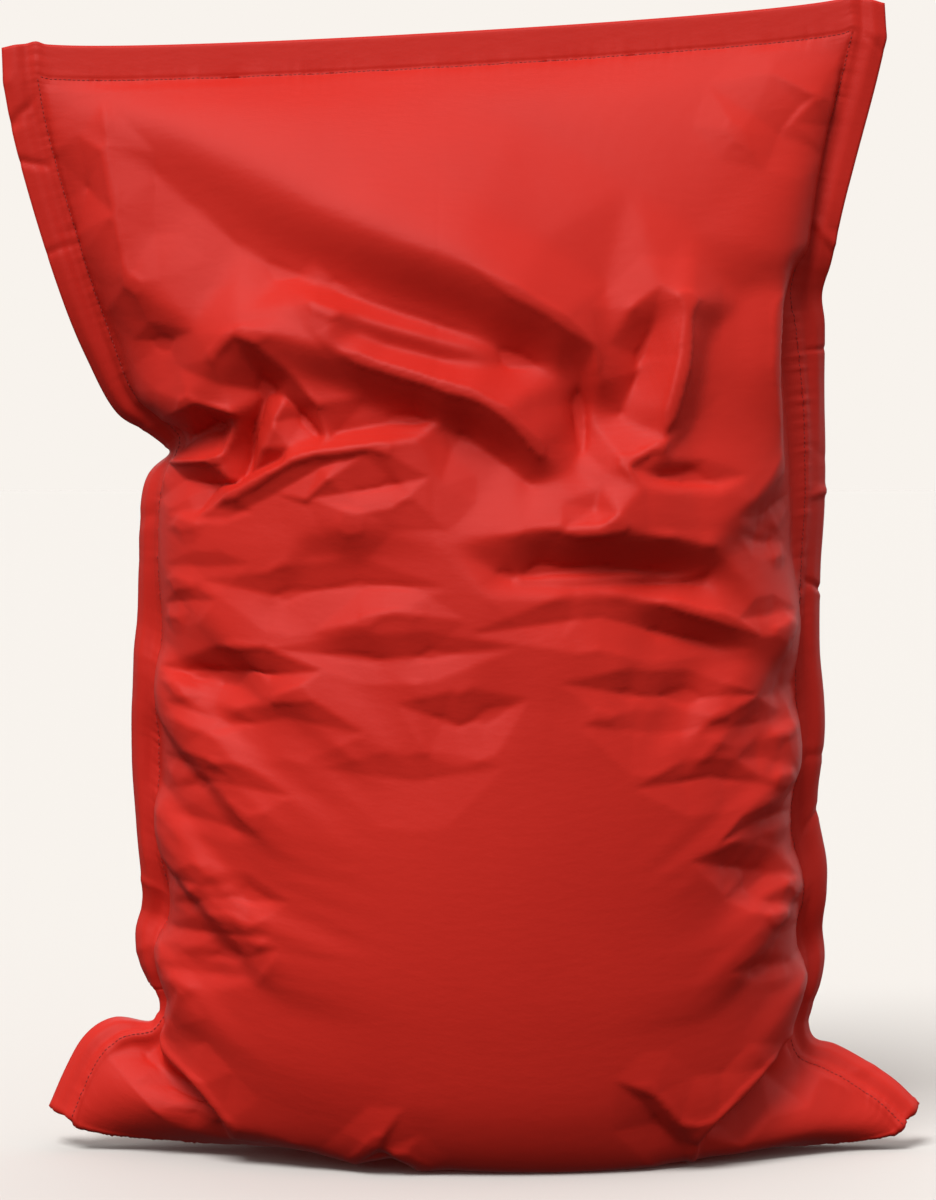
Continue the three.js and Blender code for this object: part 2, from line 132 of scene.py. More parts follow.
# ---- the standing shape: side seams and the middle lines of both panels ----
LEFT_SEAM = Curve([
    (-451, 0, 36), (-434, 3, 76), (-416, 6, 110), (-390, 8, 130), (-358, 8, 137), (-341, 8, 166),
    (-346, 8, 215), (-344, 8, 290), (-351, 8, 450), (-348, 8, 610), (-349, 8, 715), (-343, 12, 764),
    (-331, 14, 790), (-326, 15, 812), (-347, 14, 836), (-374, 14, 856), (-399, 10, 915), (-428, 10, 1000),
    (-456, 14, 1090), (-476, 18, 1165), (-486, 20, 1219),
])
RIGHT_SEAM = Curve([
    (496, 0, 28), (470, 3, 53), (434, 6, 77), (402, 8, 95), (377, 8, 106), (366, 8, 132),
    (374, 8, 190), (377, 8, 300), (369, 8, 378), (374, 8, 470), (371, 8, 560), (376, 8, 660),
    (381, 8, 740), (380, 10, 850), (371, 13, 935), (364, 15, 975), (372, 12, 1015),
    (384, 12, 1075), (398, 14, 1130), (422, 18, 1220), (434, 20, 1271),
])
FRONT_MIDDLE = Curve([
    (18, 0, 1), (18, -70, 0), (18, -122, 0), (18, -150, 10), (18, -178, 60), (17, -196, 160),
    (16, -202, 290), (15, -195, 430), (14, -180, 560), (12, -162, 680), (8, -150, 770),
    (2, -138, 860), (-8, -114, 960), (-18, -74, 1080), (-25, -22, 1180), (-28, 22, 1229),
])
BACK_MIDDLE = Curve([
    (18, 0, 3), (18, 60, 3), (18, 84, 0), (18, 122, 0), (18, 148, 8), (18, 176, 62), (17, 186, 150),
    (16, 188, 210), (15, 188, 400), (14, 182, 540), (12, 172, 670), (8, 162, 770), (2, 152, 860),
    (-8, 133, 970), (-18, 106, 1090), (-25, 62, 1182), (-28, 24, 1229),
])
# Cloth that the side seams take up in a fold: (place along the seam, its width, extra cloth), as shares.
LEFT_TAKE_UP = [(0.165, 0.03, 0.030), (0.645, 0.03, 0.030)]
RIGHT_TAKE_UP = [(0.165, 0.03, 0.030), (0.72, 0.03, 0.012)]
MOST_TAKEN_UP = 0.85
SEAM_SAMPLES = 2001

# A face stands out between its seams as a curve of this power: 2 is an ellipse, more is flatter.
ELLIPSE = 2
FRONT_FLATTER = 0.05
BACK_FLATTER = 0.3
FLATTER_FROM = (0.02, 0.2)  # shares of the height
DROP_POWER = 2.6
DROP_ROUNDER = 0.5
DROP_ROUNDER_FROM = (0.05, 0.3)
FACE_SAMPLES = 181

# How far the side borders turn towards the back, in degrees, and where by share of the height.
BORDER_TURN = 42
EAR_TURN = 10
EAR_TURN_ENDS = (0.02, 0.16)
TOP_TURN = 48
TOP_TURN_STARTS = (0.66, 0.86)
LEFT_EXTRA_TURNS = [(0.115, 0.03, 34), (0.635, 0.025, 24)]  # place, width, degrees
BORDER_SPAN = 0.04  # the share of a seam on each side of a point that gives its direction
TOP_BORDER = np.array([-0.05, 0.14, 0.99])
BOTTOM_BORDER = np.array([0.0, 1.0, 0.0])


def seam_share(v, take_up):
    """The share of a seam's path where cloth at share v of the cut lies."""
    fine = np.linspace(0, 1, SEAM_SAMPLES)
    speed = np.ones_like(fine)
    for place, width, extra in take_up:
        taken_up = min(extra / (width * math.sqrt(math.pi)), MOST_TAKEN_UP)
        speed -= taken_up * bell(fine, place, width)
    run = np.concatenate([[0], np.cumsum(speed[1:] + speed[:-1])])
    return np.interp(v, fine, run / run[-1])


def standing_face(v, columns, back):
    """Points on one face, seam to seam, evenly spaced along each row."""
    left = LEFT_SEAM.at(seam_share(v, LEFT_TAKE_UP))
    right = RIGHT_SEAM.at(seam_share(v, RIGHT_TAKE_UP))
    middle = (BACK_MIDDLE if back else FRONT_MIDDLE).at(v)
    angle = np.linspace(-math.pi / 2, math.pi / 2, FACE_SAMPLES)
    flatter = BACK_FLATTER if back else FRONT_FLATTER
    depth_power = (ELLIPSE + flatter * smoothstep(v, *FLATTER_FROM))[:, None]
    drop_power = (DROP_POWER - DROP_ROUNDER * smoothstep(v, *DROP_ROUNDER_FROM))[:, None]
    cos = np.maximum(np.cos(angle), 0)[None, :]
    across = np.sign(angle) * np.abs(np.sin(angle)) ** (ELLIPSE / depth_power)
    share = (1 + across) / 2
    depth = (cos ** (ELLIPSE / depth_power))[..., None]
    drop = (cos ** (ELLIPSE / drop_power))[..., None]
    chord = left[:, None] + share[..., None] * (right - left)[:, None]
    lift = (middle - (left + right) / 2)[:, None]
    rows = chord + np.concatenate([drop, depth, drop], axis=-1) * lift
    if back:
        beside = smoothstep(np.abs(rows[..., 0]) - PATCH_HALF_WIDTH, 0, PATCH_BLEND)
        above = smoothstep(np.abs(rows[..., 2] - ZIP_Z) - PATCH_HALF_HEIGHT, 0, PATCH_BLEND)
        share = (1 - beside) * (1 - above) * (rows[..., 1] > 0)
        rows[..., 1] += share * (PATCH_Y - CLOTH - rows[..., 1])
    steps = np.linalg.norm(np.diff(rows, axis=1), axis=2)
    run = np.concatenate([np.zeros((len(v), 1)), np.cumsum(steps, axis=1)], axis=1)
    face = np.empty((len(v), columns + 1, 3))
    for j in range(len(v)):
        want = np.linspace(0, run[j, -1], columns + 1)
        for k in range(3):
            face[j, :, k] = np.interp(want, run[j], rows[j, :, k])
    return face


def bend_back(v, side):
    """How far a side border is turned towards the back, in radians. The left side is 1, the right -1."""
    degrees = BORDER_TURN + EAR_TURN * smoothstep(v, *EAR_TURN_ENDS)
    degrees -= TOP_TURN * smoothstep(v, *TOP_TURN_STARTS)
    if side > 0:
        degrees += sum(turn * bell(v, place, width) for place, width, turn in LEFT_EXTRA_TURNS)
    return np.radians(degrees)


def side_border(seam, v, take_up, side):
    """The direction in which a side border lies from its seam."""
    ahead = seam.at(seam_share(np.minimum(1, v + BORDER_SPAN), take_up))
    behind = seam.at(seam_share(np.maximum(0, v - BORDER_SPAN), take_up))
    tangent = ahead - behind
    outward = unit(np.stack([-tangent[:, 2] * side, 0 * v, tangent[:, 0] * side], axis=-1))
    bend = bend_back(v, side)[:, None]
    return outward * np.cos(bend) + np.array([0.0, 1.0, 0.0]) * np.sin(bend)


def standing_shape(cell):
    """Both panels with their border on the standing shape: an array (panel, row, column, xyz)."""
    edge = round(FLANGE / cell)
    columns = round(CUT_WIDTH / cell)
    rows = round(CUT_LENGTH / cell)
    v = np.linspace(0, 1, rows - 2 * edge + 1)
    shape = np.zeros((2, rows + 1, columns + 1, 3))
    inner = slice(edge, rows - edge + 1)
    across = slice(edge, columns - edge + 1)
    for panel in (0, 1):
        shape[panel, inner, across] = standing_face(v, columns - 2 * edge, panel == 1)
    left = side_border(LEFT_SEAM, v, LEFT_TAKE_UP, 1)
    right = side_border(RIGHT_SEAM, v, RIGHT_TAKE_UP, -1)
    for k in range(1, edge + 1):
        reach = k * cell
        shape[:, inner, edge - k] = shape[:, inner, edge] + left * reach
        shape[:, inner, columns - edge + k] = shape[:, inner, columns - edge] + right * reach
    for k in range(1, edge + 1):
        shape[:, edge - k] = shape[:, edge] + BOTTOM_BORDER * k * cell
        shape[:, rows - edge + k] = shape[:, rows - edge] + TOP_BORDER * k * cell
    return shape


# ---- the folds that the cloth was left in when the bag was stood up ----
# Each is a line across the front in millimetres (x, z), how far the cloth goes in along it (out if negative),
# and how far it reaches to the left and to the right of the line, followed from its first point to its last.
FOLDS = [
    # soft dents in the filled part
    ([(-300, 655), (-215, 640), (-120, 652), (-20, 648)], 9, 16, 26),
    ([(-170, 600), (-90, 622), (0, 612)], -7, 16, 30),
    ([(-290, 490), (-200, 505), (-110, 490)], 7, 14, 24),
    ([(120, 500), (210, 488), (300, 500)], 8, 14, 26),
    ([(180, 430), (270, 440), (345, 425)], 8, 12, 22),
    ([(-335, 420), (-270, 432), (-190, 420)], 7, 12, 20),
    ([(-160, 452), (-60, 440), (40, 455)], 5, 16, 30),
    ([(-345, 556), (-256, 552), (-157, 558)], 18, 16, 20),
    ([(-172, 744), (-107, 755), (-41, 768)], 12, 22, 14),
    ([(-79, 523), (-9, 500), (67, 529)], 10, 18, 24),
    ([(99, 545), (198, 530), (325, 528)], 11, 16, 24),
    ([(-3, 597), (143, 617), (326, 577)], 10, 16, 20),
    ([(-216, 580), (-95, 572), (56, 583)], 8, 14, 16),
    ([(242, 349), (313, 335), (375, 321)], 10, 14, 18),
    ([(-332, 289), (-261, 309), (-193, 304)], 9, 14, 20),
    ([(-326, 233), (-249, 238), (-204, 254)], 8, 12, 18),
    # the faint line where the cloth was folded in its packet
    ([(-28, 1222), (-34, 900), (-40, 600), (-44, 60)], 0.5, 4, 5),
]

# The folds of the upper half: lines of (x, z, how far the cloth stands out), in millimetres. The cloth is
# stretched flat from one line to the next. Rolls are rounded, creases are sharp.
DIAGONAL_FOOT = [
    (-425, 1160, 0), (-350, 1118, -2), (-300, 1074, -5), (-250, 1030, -8), (-200, 998, -10), (-150, 974, -11),
    (-100, 954, -12), (-50, 939, -13), (0, 922, -14), (50, 900, -14), (100, 884, -8),
]
ROLLS = [
    # the long diagonal from the top left corner: its crest, and its foot
    [(-468, 1198, 2), (-400, 1174, 7), (-330, 1146, 10), (-250, 1106, 14), (-200, 1078, 17), (-150, 1048, 21),
     (-100, 1024, 25), (-50, 1004, 28), (0, 984, 30), (50, 956, 29), (100, 930, 22), (138, 908, 8)],
    [(-400, 1212, 0), (-300, 1192, 4), (-200, 1152, 9), (-100, 1104, 12), (0, 1062, 13), (80, 1022, 10),
     (150, 975, 3)],
    [(-300, 1216, 0), (-100, 1196, 0), (60, 1160, 0), (180, 1090, 0), (250, 1040, 0), (300, 960, 0),
     (300, 860, 0)],
    DIAGONAL_FOOT,
    # the ridge under it, and its foot
    [(-342, 918, -6), (-300, 934, 4), (-250, 943, 9), (-200, 951, 12), (-165, 959, 12), (-130, 948, 14),
     (-100, 938, 14), (-50, 925, 13), (0, 915, 12), (25, 910, 4)],
    [(-125, 926, 0), (-90, 911, -4), (-40, 899, -6), (20, 893, -4)],
    # the second diagonal, from the knot, and its foot
    [(-252, 926, 12), (-200, 920, 15), (-150, 906, 18), (-100, 890, 20), (-50, 874, 22), (0, 856, 22),
     (35, 835, 22), (65, 806, 18), (84, 784, 10), (99, 768, 0)],
    [(-190, 882, -4), (-140, 866, -8), (-90, 850, -10), (-50, 836, -12), (0, 820, -12), (40, 792, -10),
     (70, 764, -6)],
    # the raised finger on the right, and the hollow to its left
    [(155, 914, 2), (180, 945, 8), (210, 968, 10), (232, 950, 16), (228, 890, 20), (216, 845, 18),
     (208, 806, 8)],
    [(203, 925, -4), (190, 880, -12), (170, 840, -14), (150, 816, -10)],
    [(264, 930, -2), (256, 870, -3), (240, 820, -2)],
    [(108, 880, -6), (119, 850, -18), (125, 815, -18), (122, 790, -8)],
    # the deep level pocket: its upper edge and its bottom
    [(-15, 697, 4), (60, 706, 12), (140, 708, 20), (200, 698, 18), (250, 688, 12), (277, 677, 4)],
    [(55, 660, -6), (90, 666, -15), (140, 668, -21), (200, 666, -20), (250, 661, -11), (272, 660, -4)],
    [(-45, 637, 2), (20, 645, 7), (100, 646, 8), (165, 645, 8)],
    # the folds under its right end
    [(172, 641, 5), (210, 632, 8), (270, 610, 9), (330, 600, 5)],
    [(178, 627, 0), (215, 611, -7), (255, 595, -10), (325, 569, -4)],
    # soft dents in the middle
    [(-20, 690, 5), (30, 664, -3), (58, 655, -5)],
    [(-178, 702, 3), (-130, 708, 5), (-85, 712, 3)],
    [(-170, 688, -2), (-130, 680, -3), (-100, 680, -2)],
    # the edge of the front over the right border, and the groove behind it
    [(374, 1150, 3), (352, 1010, 9), (345, 960, 12), (343, 900, 10), (345, 850, 8), (350, 780, 5)],
    [(366, 1000, -4), (362, 960, -14), (361, 900, -16), (365, 840, -14), (369, 760, -12), (372, 690, -10)],
]
CREASES = [
    # the end of the long diagonal, and the edge over the hollow beside the finger
    [(138, 908, 4), (142, 870, 8), (140, 830, 6), (130, 800, 0)],
    [(95, 884, 3), (102, 860, 5), (108, 822, 4), (112, 784, 0)],
    [(125, 880, -3), (128, 830, -4)],
    # the rims of the finger
    [(153, 912, 0), (178, 950, 4), (208, 976, 4), (238, 954, 6), (236, 900, 3)],
    [(208, 806, 5), (219, 850, 4), (226, 900, 0)],
    [(204, 940, -1), (216, 900, -3), (208, 850, -3), (200, 820, -2)],
    # the shoulder that the beads stand up to: a sharp edge with a hollow above it
    [(-308, 722, 0), (-250, 752, 14), (-200, 782, 18), (-165, 795, 18), (-100, 805, 18), (-55, 812, 14),
     (-28, 832, 4)],
    [(-150, 814, -4), (-100, 824, -6), (-60, 831, -4)],
    # the hairpin below the shoulder
    [(-112, 793, 12), (-150, 765, 13), (-175, 742, 6)],
    [(-160, 779, 5), (-210, 750, 1), (-264, 724, 0)],
    [(-175, 738, 2), (-120, 738, 9), (-60, 745, 9), (-30, 762, 6)],
    # the knot at the left waist
    [(-252, 922, 6), (-235, 914, 10), (-190, 878, 14), (-165, 848, 14), (-153, 812, 8)],
    [(-248, 908, 0), (-222, 868, -19), (-205, 858, -6), (-185, 836, -12), (-163, 812, -6)],
    [(-228, 862, -19), (-245, 820, -28), (-250, 790, -30), (-258, 768, -19)],
    [(-203, 852, 4), (-215, 828, 8), (-226, 799, 8), (-195, 802, 6), (-168, 802, 8)],
    [(-255, 835, 8), (-270, 792, 8), (-266, 766, 2)],
    [(-352, 864, 2), (-300, 850, 10), (-258, 838, 10)],
    [(-318, 808, -14), (-285, 820, -28), (-266, 828, -12)],
    [(-335, 783, 4), (-290, 785, 8), (-272, 772, 2)],
    [(-322, 768, -9), (-285, 762, -18), (-260, 762, -18)],
    [(-244, 772, -13), (-205, 786, -7)],
    [(-276, 900, 6), (-270, 870, 2)],
    # along the left border
    [(-402, 1136, 8), (-392, 1060, 9), (-375, 985, 9), (-355, 940, 4), (-342, 919, -4)],
    [(-342, 919, -4), (-300, 929, 2), (-250, 937, 3), (-200, 941, 0)],
    [(-370, 984, 9), (-340, 986, 4), (-290, 972, 0)],
    [(-437, 1150, 2), (-430, 1092, -6), (-408, 1130, 8)],
    # at the top right corner, where the cloth was handled
    [(420, 1242, 0), (388, 1192, 5), (362, 1164, 0)],
    [(405, 1247, 0), (340, 1217, 4), (268, 1206, 0)],
    [(372, 1182, 0), (348, 1150, -4), (330, 1108, 0)],
    [(318, 1172, 0), (302, 1148, 4), (280, 1120, 0)],
    # the peak on the ridge
    [(-190, 950, 0), (-165, 957, 5), (-130, 940, 2)],
    # the star beside the finger
    [(208, 804, 8), (168, 781, 12), (185, 755, 4), (158, 726, 5), (143, 706, 6)],
    [(180, 774, -2), (220, 765, -16), (272, 757, -6)],
    [(272, 755, 4), (220, 755, 3), (188, 757, 3)],
    [(215, 785, 2), (262, 786, 2)],
    [(150, 772, 3), (143, 757, 0), (138, 730, -10)],
    # where the body stands over the left corner on the floor
    [(-348, 163, 0), (-331, 150, 8), (-341, 130, 10), (-338, 113, 12), (-298, 89, 14), (-270, 48, 6)],
    [(-352, 142, -6), (-353, 114, -16), (-326, 93, -28), (-303, 73, -26), (-278, 46, -12)],
    # and over the right one, with a crease in front of it
    [(352, 135, 2), (331, 113, 8), (300, 84, 12), (268, 56, 12), (253, 32, 6)],
    [(357, 124, -6), (339, 102, -16), (309, 74, -20), (281, 50, -16), (263, 34, -6)],
    [(202, 92, 4), (228, 58, 8), (248, 34, 6)],
    [(194, 84, -4), (214, 56, -8), (236, 32, -6)],
    [(478, 60, 2), (440, 86, 6), (410, 102, 2)],
    [(396, 80, 5), (385, 55, 2)],
    # a crease in the bottom edge
    [(-70, 80, 1), (-100, 38, 9), (-124, 15, 5)],
    [(-94, 34, 4), (-75, 23, 7), (-52, 12, 4)],
    [(-97, 22, -7), (-84, 15, -8)],
    # the lip of the pocket
    [(58, 655, 0), (120, 656, 6), (180, 660, 8), (245, 657, 3)],
    [(50, 650, -3), (120, 650, -5), (190, 652, -5), (262, 655, -2)],
    [(276, 678, 3), (272, 657, 1)],
]


FOLD_END = 0.35  # the share of a fold's length over which it dies away
FOLD_FOOT = 1.8  # how far a fold's straight flanks reach, as a multiple of its width

# Puckers that run in from the side seams, in millimetres: the ranges that they are drawn from.
PUCKER_REACH = (45, 130)
PUCKER_SLOPE = (-0.35, 0.25)
PUCKER_BEND = (-8, 8)
PUCKER_START = (-4, 10)
PUCKER_DEPTH = (3.5, 8)
PUCKER_LEFT = (7, 13)
PUCKER_RIGHT = (9, 18)
PUCKER_SPACING_SHARES = (0.6, 1.4)
RIDGE_BELOW = 16  # the ridge under each pucker: how far below, its size, and its two widths
RIDGE_SIZE = -0.5
RIDGE_WIDTHS = (9, 12)
FRONT_PUCKERS = (170, 760, 64)  # lowest, highest, spacing
BACK_PUCKERS = (150, 1180, 60)


def seam_x(seam, z):
    """Where a side seam is at height z, in millimetres."""
    return float(np.interp(z * MM, seam.points[:, 2], seam.points[:, 0])) / MM


def side_puckers(rng, low, high, spacing):
    """Short folds that run in from the side seams, where the sewn-up cloth is too long for them."""
    folds = []
    for side, seam in ((1, LEFT_SEAM), (-1, RIGHT_SEAM)):
        z = low + rng.uniform(0, spacing)
        while z < high:
            reach = rng.uniform(*PUCKER_REACH)
            slope = rng.uniform(*PUCKER_SLOPE)
            bend = rng.uniform(*PUCKER_BEND)
            start = seam_x(seam, z) + side * rng.uniform(*PUCKER_START)
            line = [
                (start, z),
                (start + side * reach / 2, z + slope * reach / 2 + bend),
                (start + side * reach, z + slope * reach),
            ]
            size = rng.uniform(*PUCKER_DEPTH)
            folds.append((line, size, rng.uniform(*PUCKER_LEFT), rng.uniform(*PUCKER_RIGHT)))
            ridge = [(x, z - RIDGE_BELOW) for x, z in line[:2]]
            folds.append((ridge, RIDGE_SIZE * size, *RIDGE_WIDTHS))
            z += rng.uniform(*PUCKER_SPACING_SHARES) * spacing
    return folds


def fold_depth(x, z, folds):
    """How far in the cloth goes at points x, z."""
    depth = np.zeros_like(x)
    for points, amount, left_reach, right_reach in folds:
        line = np.array(points, float) * MM
        nearest = np.full(x.shape, np.inf)
        side = np.zeros_like(x)
        place = np.zeros_like(x)
        lengths = np.linalg.norm(np.diff(line, axis=0), axis=1)
        before = 0.0
        for (ax, az), (bx, bz), length in zip(line[:-1], line[1:], lengths):
            dx, dz = (bx - ax) / length, (bz - az) / length
            along = np.clip((x - ax) * dx + (z - az) * dz, 0, length)
            off_x, off_z = x - ax - along * dx, z - az - along * dz
            distance = np.hypot(off_x, off_z)
            closer = distance < nearest
            nearest = np.where(closer, distance, nearest)
            side = np.where(closer, dx * off_z - dz * off_x, side)
            place = np.where(closer, before + along, place)
            before += length
        share = place / before
        taper = np.minimum(1, np.minimum(share, 1 - share) / FOLD_END)
        width = np.where(side > 0, left_reach, right_reach) * FOLD_FOOT * MM
        depth += amount * MM * np.maximum(0, taper - nearest / width)
    return depth


# The grid that facets are drawn on, how far they spread from their lines and how they are rounded, in
# millimetres.
FACET_STEP = 2.5
FACET_LOW = (-560, -40)
FACET_HIGH = (600, 1400)
ROLL_CLEARANCE = 80
CREASE_CLEARANCE = 30
ROLL_RADIUS = 8
CREASE_RADIUS = 0
DIAGONAL_RADIUS = 14
DIAGONAL_EDGE = (-25, 15)  # above its foot
DIAGONAL_END = (-20, 90)  # across
MERGE_DISTANCE = 0.01
ROLL_SCALE = 1.6  # the heights in the lists are scaled up, as relaxing the cloth takes some away again
CREASE_SCALE = 1.2
TINY = 1e-6


def crease_at(x, z, lines):
    """The distance to the nearest crease, and how far the cloth stands out there."""
    best = (math.inf, 0.0)
    for line in lines:
        for (ax, az, ah), (bx, bz, bh) in zip(line[:-1], line[1:]):
            length = math.hypot(bx - ax, bz - az)
            share = ((x - ax) * (bx - ax) + (z - az) * (bz - az)) / length**2
            share = min(1, max(0, share))
            distance = math.hypot(x - ax - share * (bx - ax), z - az - share * (bz - az))
            best = min(best, (distance, ah + share * (bh - ah)))
    return best


def facet_grid():
    """The grid's places across, as a row, and its heights, as a column."""
    x, z = [
        low + np.arange(round((high - low) / FACET_STEP) + 1) * FACET_STEP
        for low, high in zip(FACET_LOW, FACET_HIGH)
    ]
    return x[None, :], z[:, None]


def facet_map(lines, clearance, radius):
    """Heights on a fine grid over the front, for cloth stretched flat between lines, which are then rounded.

    The cloth is left where it is at a regular set of points that stay clear of every line.
    """
    corners = []
    heights = []
    edges = []
    for line in lines:
        edges += [(len(corners) + k, len(corners) + k + 1) for k in range(len(line) - 1)]
        corners += [Vector((x, z)) for x, z, height in line]
        heights += [height for x, z, height in line]
    for x in range(FACET_LOW[0], FACET_HIGH[0] + 1, clearance):
        for z in range(FACET_LOW[1], FACET_HIGH[1] + 1, clearance):
            if crease_at(x, z, lines)[0] > clearance:
                corners.append(Vector((x, z)))
                heights.append(0)
    made, _, triangles, origins, _, _ = delaunay_2d_cdt(corners, edges, [], 0, MERGE_DISTANCE)
    level = [heights[o[0]] if o else crease_at(*point, lines)[1] for point, o in zip(made, origins)]
    x, z = facet_grid()
    height = np.zeros((len(z), x.shape[1]))
    for triangle in triangles:
        a, b, c = [made[k] for k in triangle]
        whole = (b - a).cross(c - a)
        if abs(whole) < TINY:
            continue
        share_b = ((x - a.x) * (c.y - a.y) - (z - a.y) * (c.x - a.x)) / whole
        share_c = ((b.x - a.x) * (z - a.y) - (b.y - a.y) * (x - a.x)) / whole
        inside = (share_b >= -TINY) & (share_c >= -TINY) & (share_b + share_c <= 1 + TINY)
        la, lb, lc = [level[k] for k in triangle]
        height[inside] = (la + share_b * (lb - la) + share_c * (lc - la))[inside]
    return smoothed(height[None], FACET_STEP, radius)[0]


def rounded_diagonal(height):
    """The long diagonal is rounder than the other rolls, all along but at its lower end."""
    x, z = facet_grid()
    foot = np.interp(x, [point[0] for point in DIAGONAL_FOOT], [point[1] for point in DIAGONAL_FOOT])
    share = smoothstep(z - foot, *DIAGONAL_EDGE) * (1 - smoothstep(x, *DIAGONAL_END))
    return height + share * (smoothed(height[None], FACET_STEP, DIAGONAL_RADIUS)[0] - height)


def facet_height(x, z, height):
    """How far the cloth stands out at points x, z in metres."""
    column = np.clip((x / MM - FACET_LOW[0]) / FACET_STEP, 0, height.shape[1] - 1 - TINY)
    row = np.clip((z / MM - FACET_LOW[1]) / FACET_STEP, 0, height.shape[0] - 1 - TINY)
    j, i = column.astype(int), row.astype(int)
    s, t = column - j, row - i
    low = height[i, j] * (1 - s) + height[i, j + 1] * s
    high = height[i + 1, j] * (1 - s) + height[i + 1, j + 1] * s
    return (low * (1 - t) + high * t) * MM


# ---- relaxing the cloth ----
# Per step: what the cloth keeps of its speed and how far it falls.
SPEED_KEPT = 0.9
GRAVITY = 0.000005
# How strongly threads resist being stretched, squeezed and sheared: 1 is fully.
STRETCH = 1.0
SQUEEZE = 0.15
SHEAR = 0.08
LAYER_GAP = 3 * MM
FLOOR_GAP = 0.6 * MM
BEAD_GIVE = 4 * MM  # how far the cloth can press into the beads
BEAD_PUSH = 0.5
INFLATION = 40 * MM
# How firmly the cloth is drawn to the standing shape, by place.
HOLD = 0.003
TAUT_HOLD = 0.08
SEAM_HOLD = 0.4
BORDER_HOLD = 0.8
BASE_HOLD = 0.35
PATCH_HOLD = 0.6
FOLDED_HOLD = 0.8
# Where those places are. Heights are shares of the way up the cut.
SLACK_AT = 0.6
SLACK_WIDTH = 0.12
NEAR_SEAM = 20 * MM
NEAR_TOP = 0.02
BASE_ENDS = (0.06, 0.13)
HELD_BESIDE = (PATCH_HALF_WIDTH - 30 * MM, PATCH_HALF_WIDTH + 40 * MM)
HELD_ABOVE = (70 * MM, 110 * MM)
HELD_Y = 120 * MM
PRESSED_SIDE = (0, 60 * MM)
PRESSED_FROM = (0.01, 0.06)
PRESSURE_LOST = 0.9
PRESSURE_ENDS = (0.35, 0.66)
FILLED_SIDE = (5 * MM, 50 * MM)
FILLED_FROM = (0.02, 0.08)
FILLED_ENDS = (0.5, 0.8)


def pairs(axis, stride, shape):
    """Slices for the two ends of each thread along one axis, in groups that share no point."""
    n = shape[axis]
    step = 2 * stride
    for start in range(step):
        count = len(range(start + stride, n, step))
        if count:
            low = [slice(None)] * 3
            high = [slice(None)] * 3
            low[axis] = slice(start, start + step * (count - 1) + 1, step)
            high[axis] = slice(start + stride, start + stride + step * (count - 1) + 1, step)
            yield tuple(low), tuple(high)


def diagonals():
    """Both diagonals of the cells, in rows that share no point: the first row, and slices of the columns."""
    for start in (0, 1):
        for one, other in ((slice(0, -1), slice(1, None)), (slice(1, None), slice(0, -1))):
            yield start, one, other


def pull(cloth, a, b, rest, stretch, squeeze):
    """Brings the ends of threads to their rest length, less firmly where they are squeezed."""
    d = cloth[b] - cloth[a]
    length = np.sqrt(np.einsum("...k,...k->...", d, d)) + LEAST
    share = 1 - rest / length
    share *= np.where(share > 0, 0.5 * stretch, 0.5 * squeeze)
    d *= share[..., None]
    cloth[a] += d
    cloth[b] -= d


def thread_plan(shape, cell, bends, squeeze):
    """Every group of threads: (ends, rest length, stiffness if stretched, and if squeezed)."""
    plan = []
    rows = shape[1]
    for axis in (1, 2):
        for a, b in pairs(axis, 1, shape):
            plan.append((a, b, cell, STRETCH, squeeze))
    for start, one, other in diagonals():
        count = len(range(start + 1, rows, 2))
        a = (slice(None), slice(start, start + 2 * count, 2), one)
        b = (slice(None), slice(start + 1, rows, 2), other)
        plan.append((a, b, cell * math.sqrt(2), SHEAR, SHEAR))
    for stride, bend in bends:
        for axis in (1, 2):
            for a, b in pairs(axis, stride, shape):
                plan.append((a, b, stride * cell, 0.0, bend))
    return plan


def outward_normals(cloth):
    """The direction out of the bag at each point of both panels."""
    across = np.gradient(cloth, axis=2)
    along = np.gradient(cloth, axis=1)
    normal = unit(np.cross(across, along))
    normal[1] *= -1
    return normal


def relax(cloth, goal, hold, pressure, filled, cell, steps, sweeps, bends, squeeze):
    """The cloth after some steps of falling, being pushed out and pulled to its threads' length."""
    edge = round(FLANGE / cell)
    goal_normals = outward_normals(goal)
    plan = thread_plan(cloth.shape[:3], cell, bends, squeeze)
    border = np.ones(cloth.shape[1:3], bool)
    border[edge + 1 : -edge - 1, edge + 1 : -edge - 1] = False
    before = cloth.copy()
    for step in range(steps):
        speed = (cloth - before) * SPEED_KEPT
        before = cloth.copy()
        cloth += speed
        cloth += pressure[..., None] * outward_normals(cloth)
        cloth[..., 2] -= GRAVITY
        cloth += hold[..., None] * (goal - cloth)
        for sweep in range(sweeps):
            for threads in plan:
                pull(cloth, *threads)
            sewn = cloth[:, border].mean(axis=0)
            cloth[:, border] = sewn
            sunk = np.einsum("...k,...k->...", goal - cloth, goal_normals) - BEAD_GIVE
            cloth += (BEAD_PUSH * filled * np.maximum(sunk, 0))[..., None] * goal_normals
        overlap = cloth[0, ..., 1] - cloth[1, ..., 1] + LAYER_GAP
        overlap = np.where(border, 0, np.maximum(overlap, 0))
        cloth[0, ..., 1] -= overlap / 2
        cloth[1, ..., 1] += overlap / 2
        np.maximum(cloth[..., 2], FLOOR_GAP, out=cloth[..., 2])
    return cloth


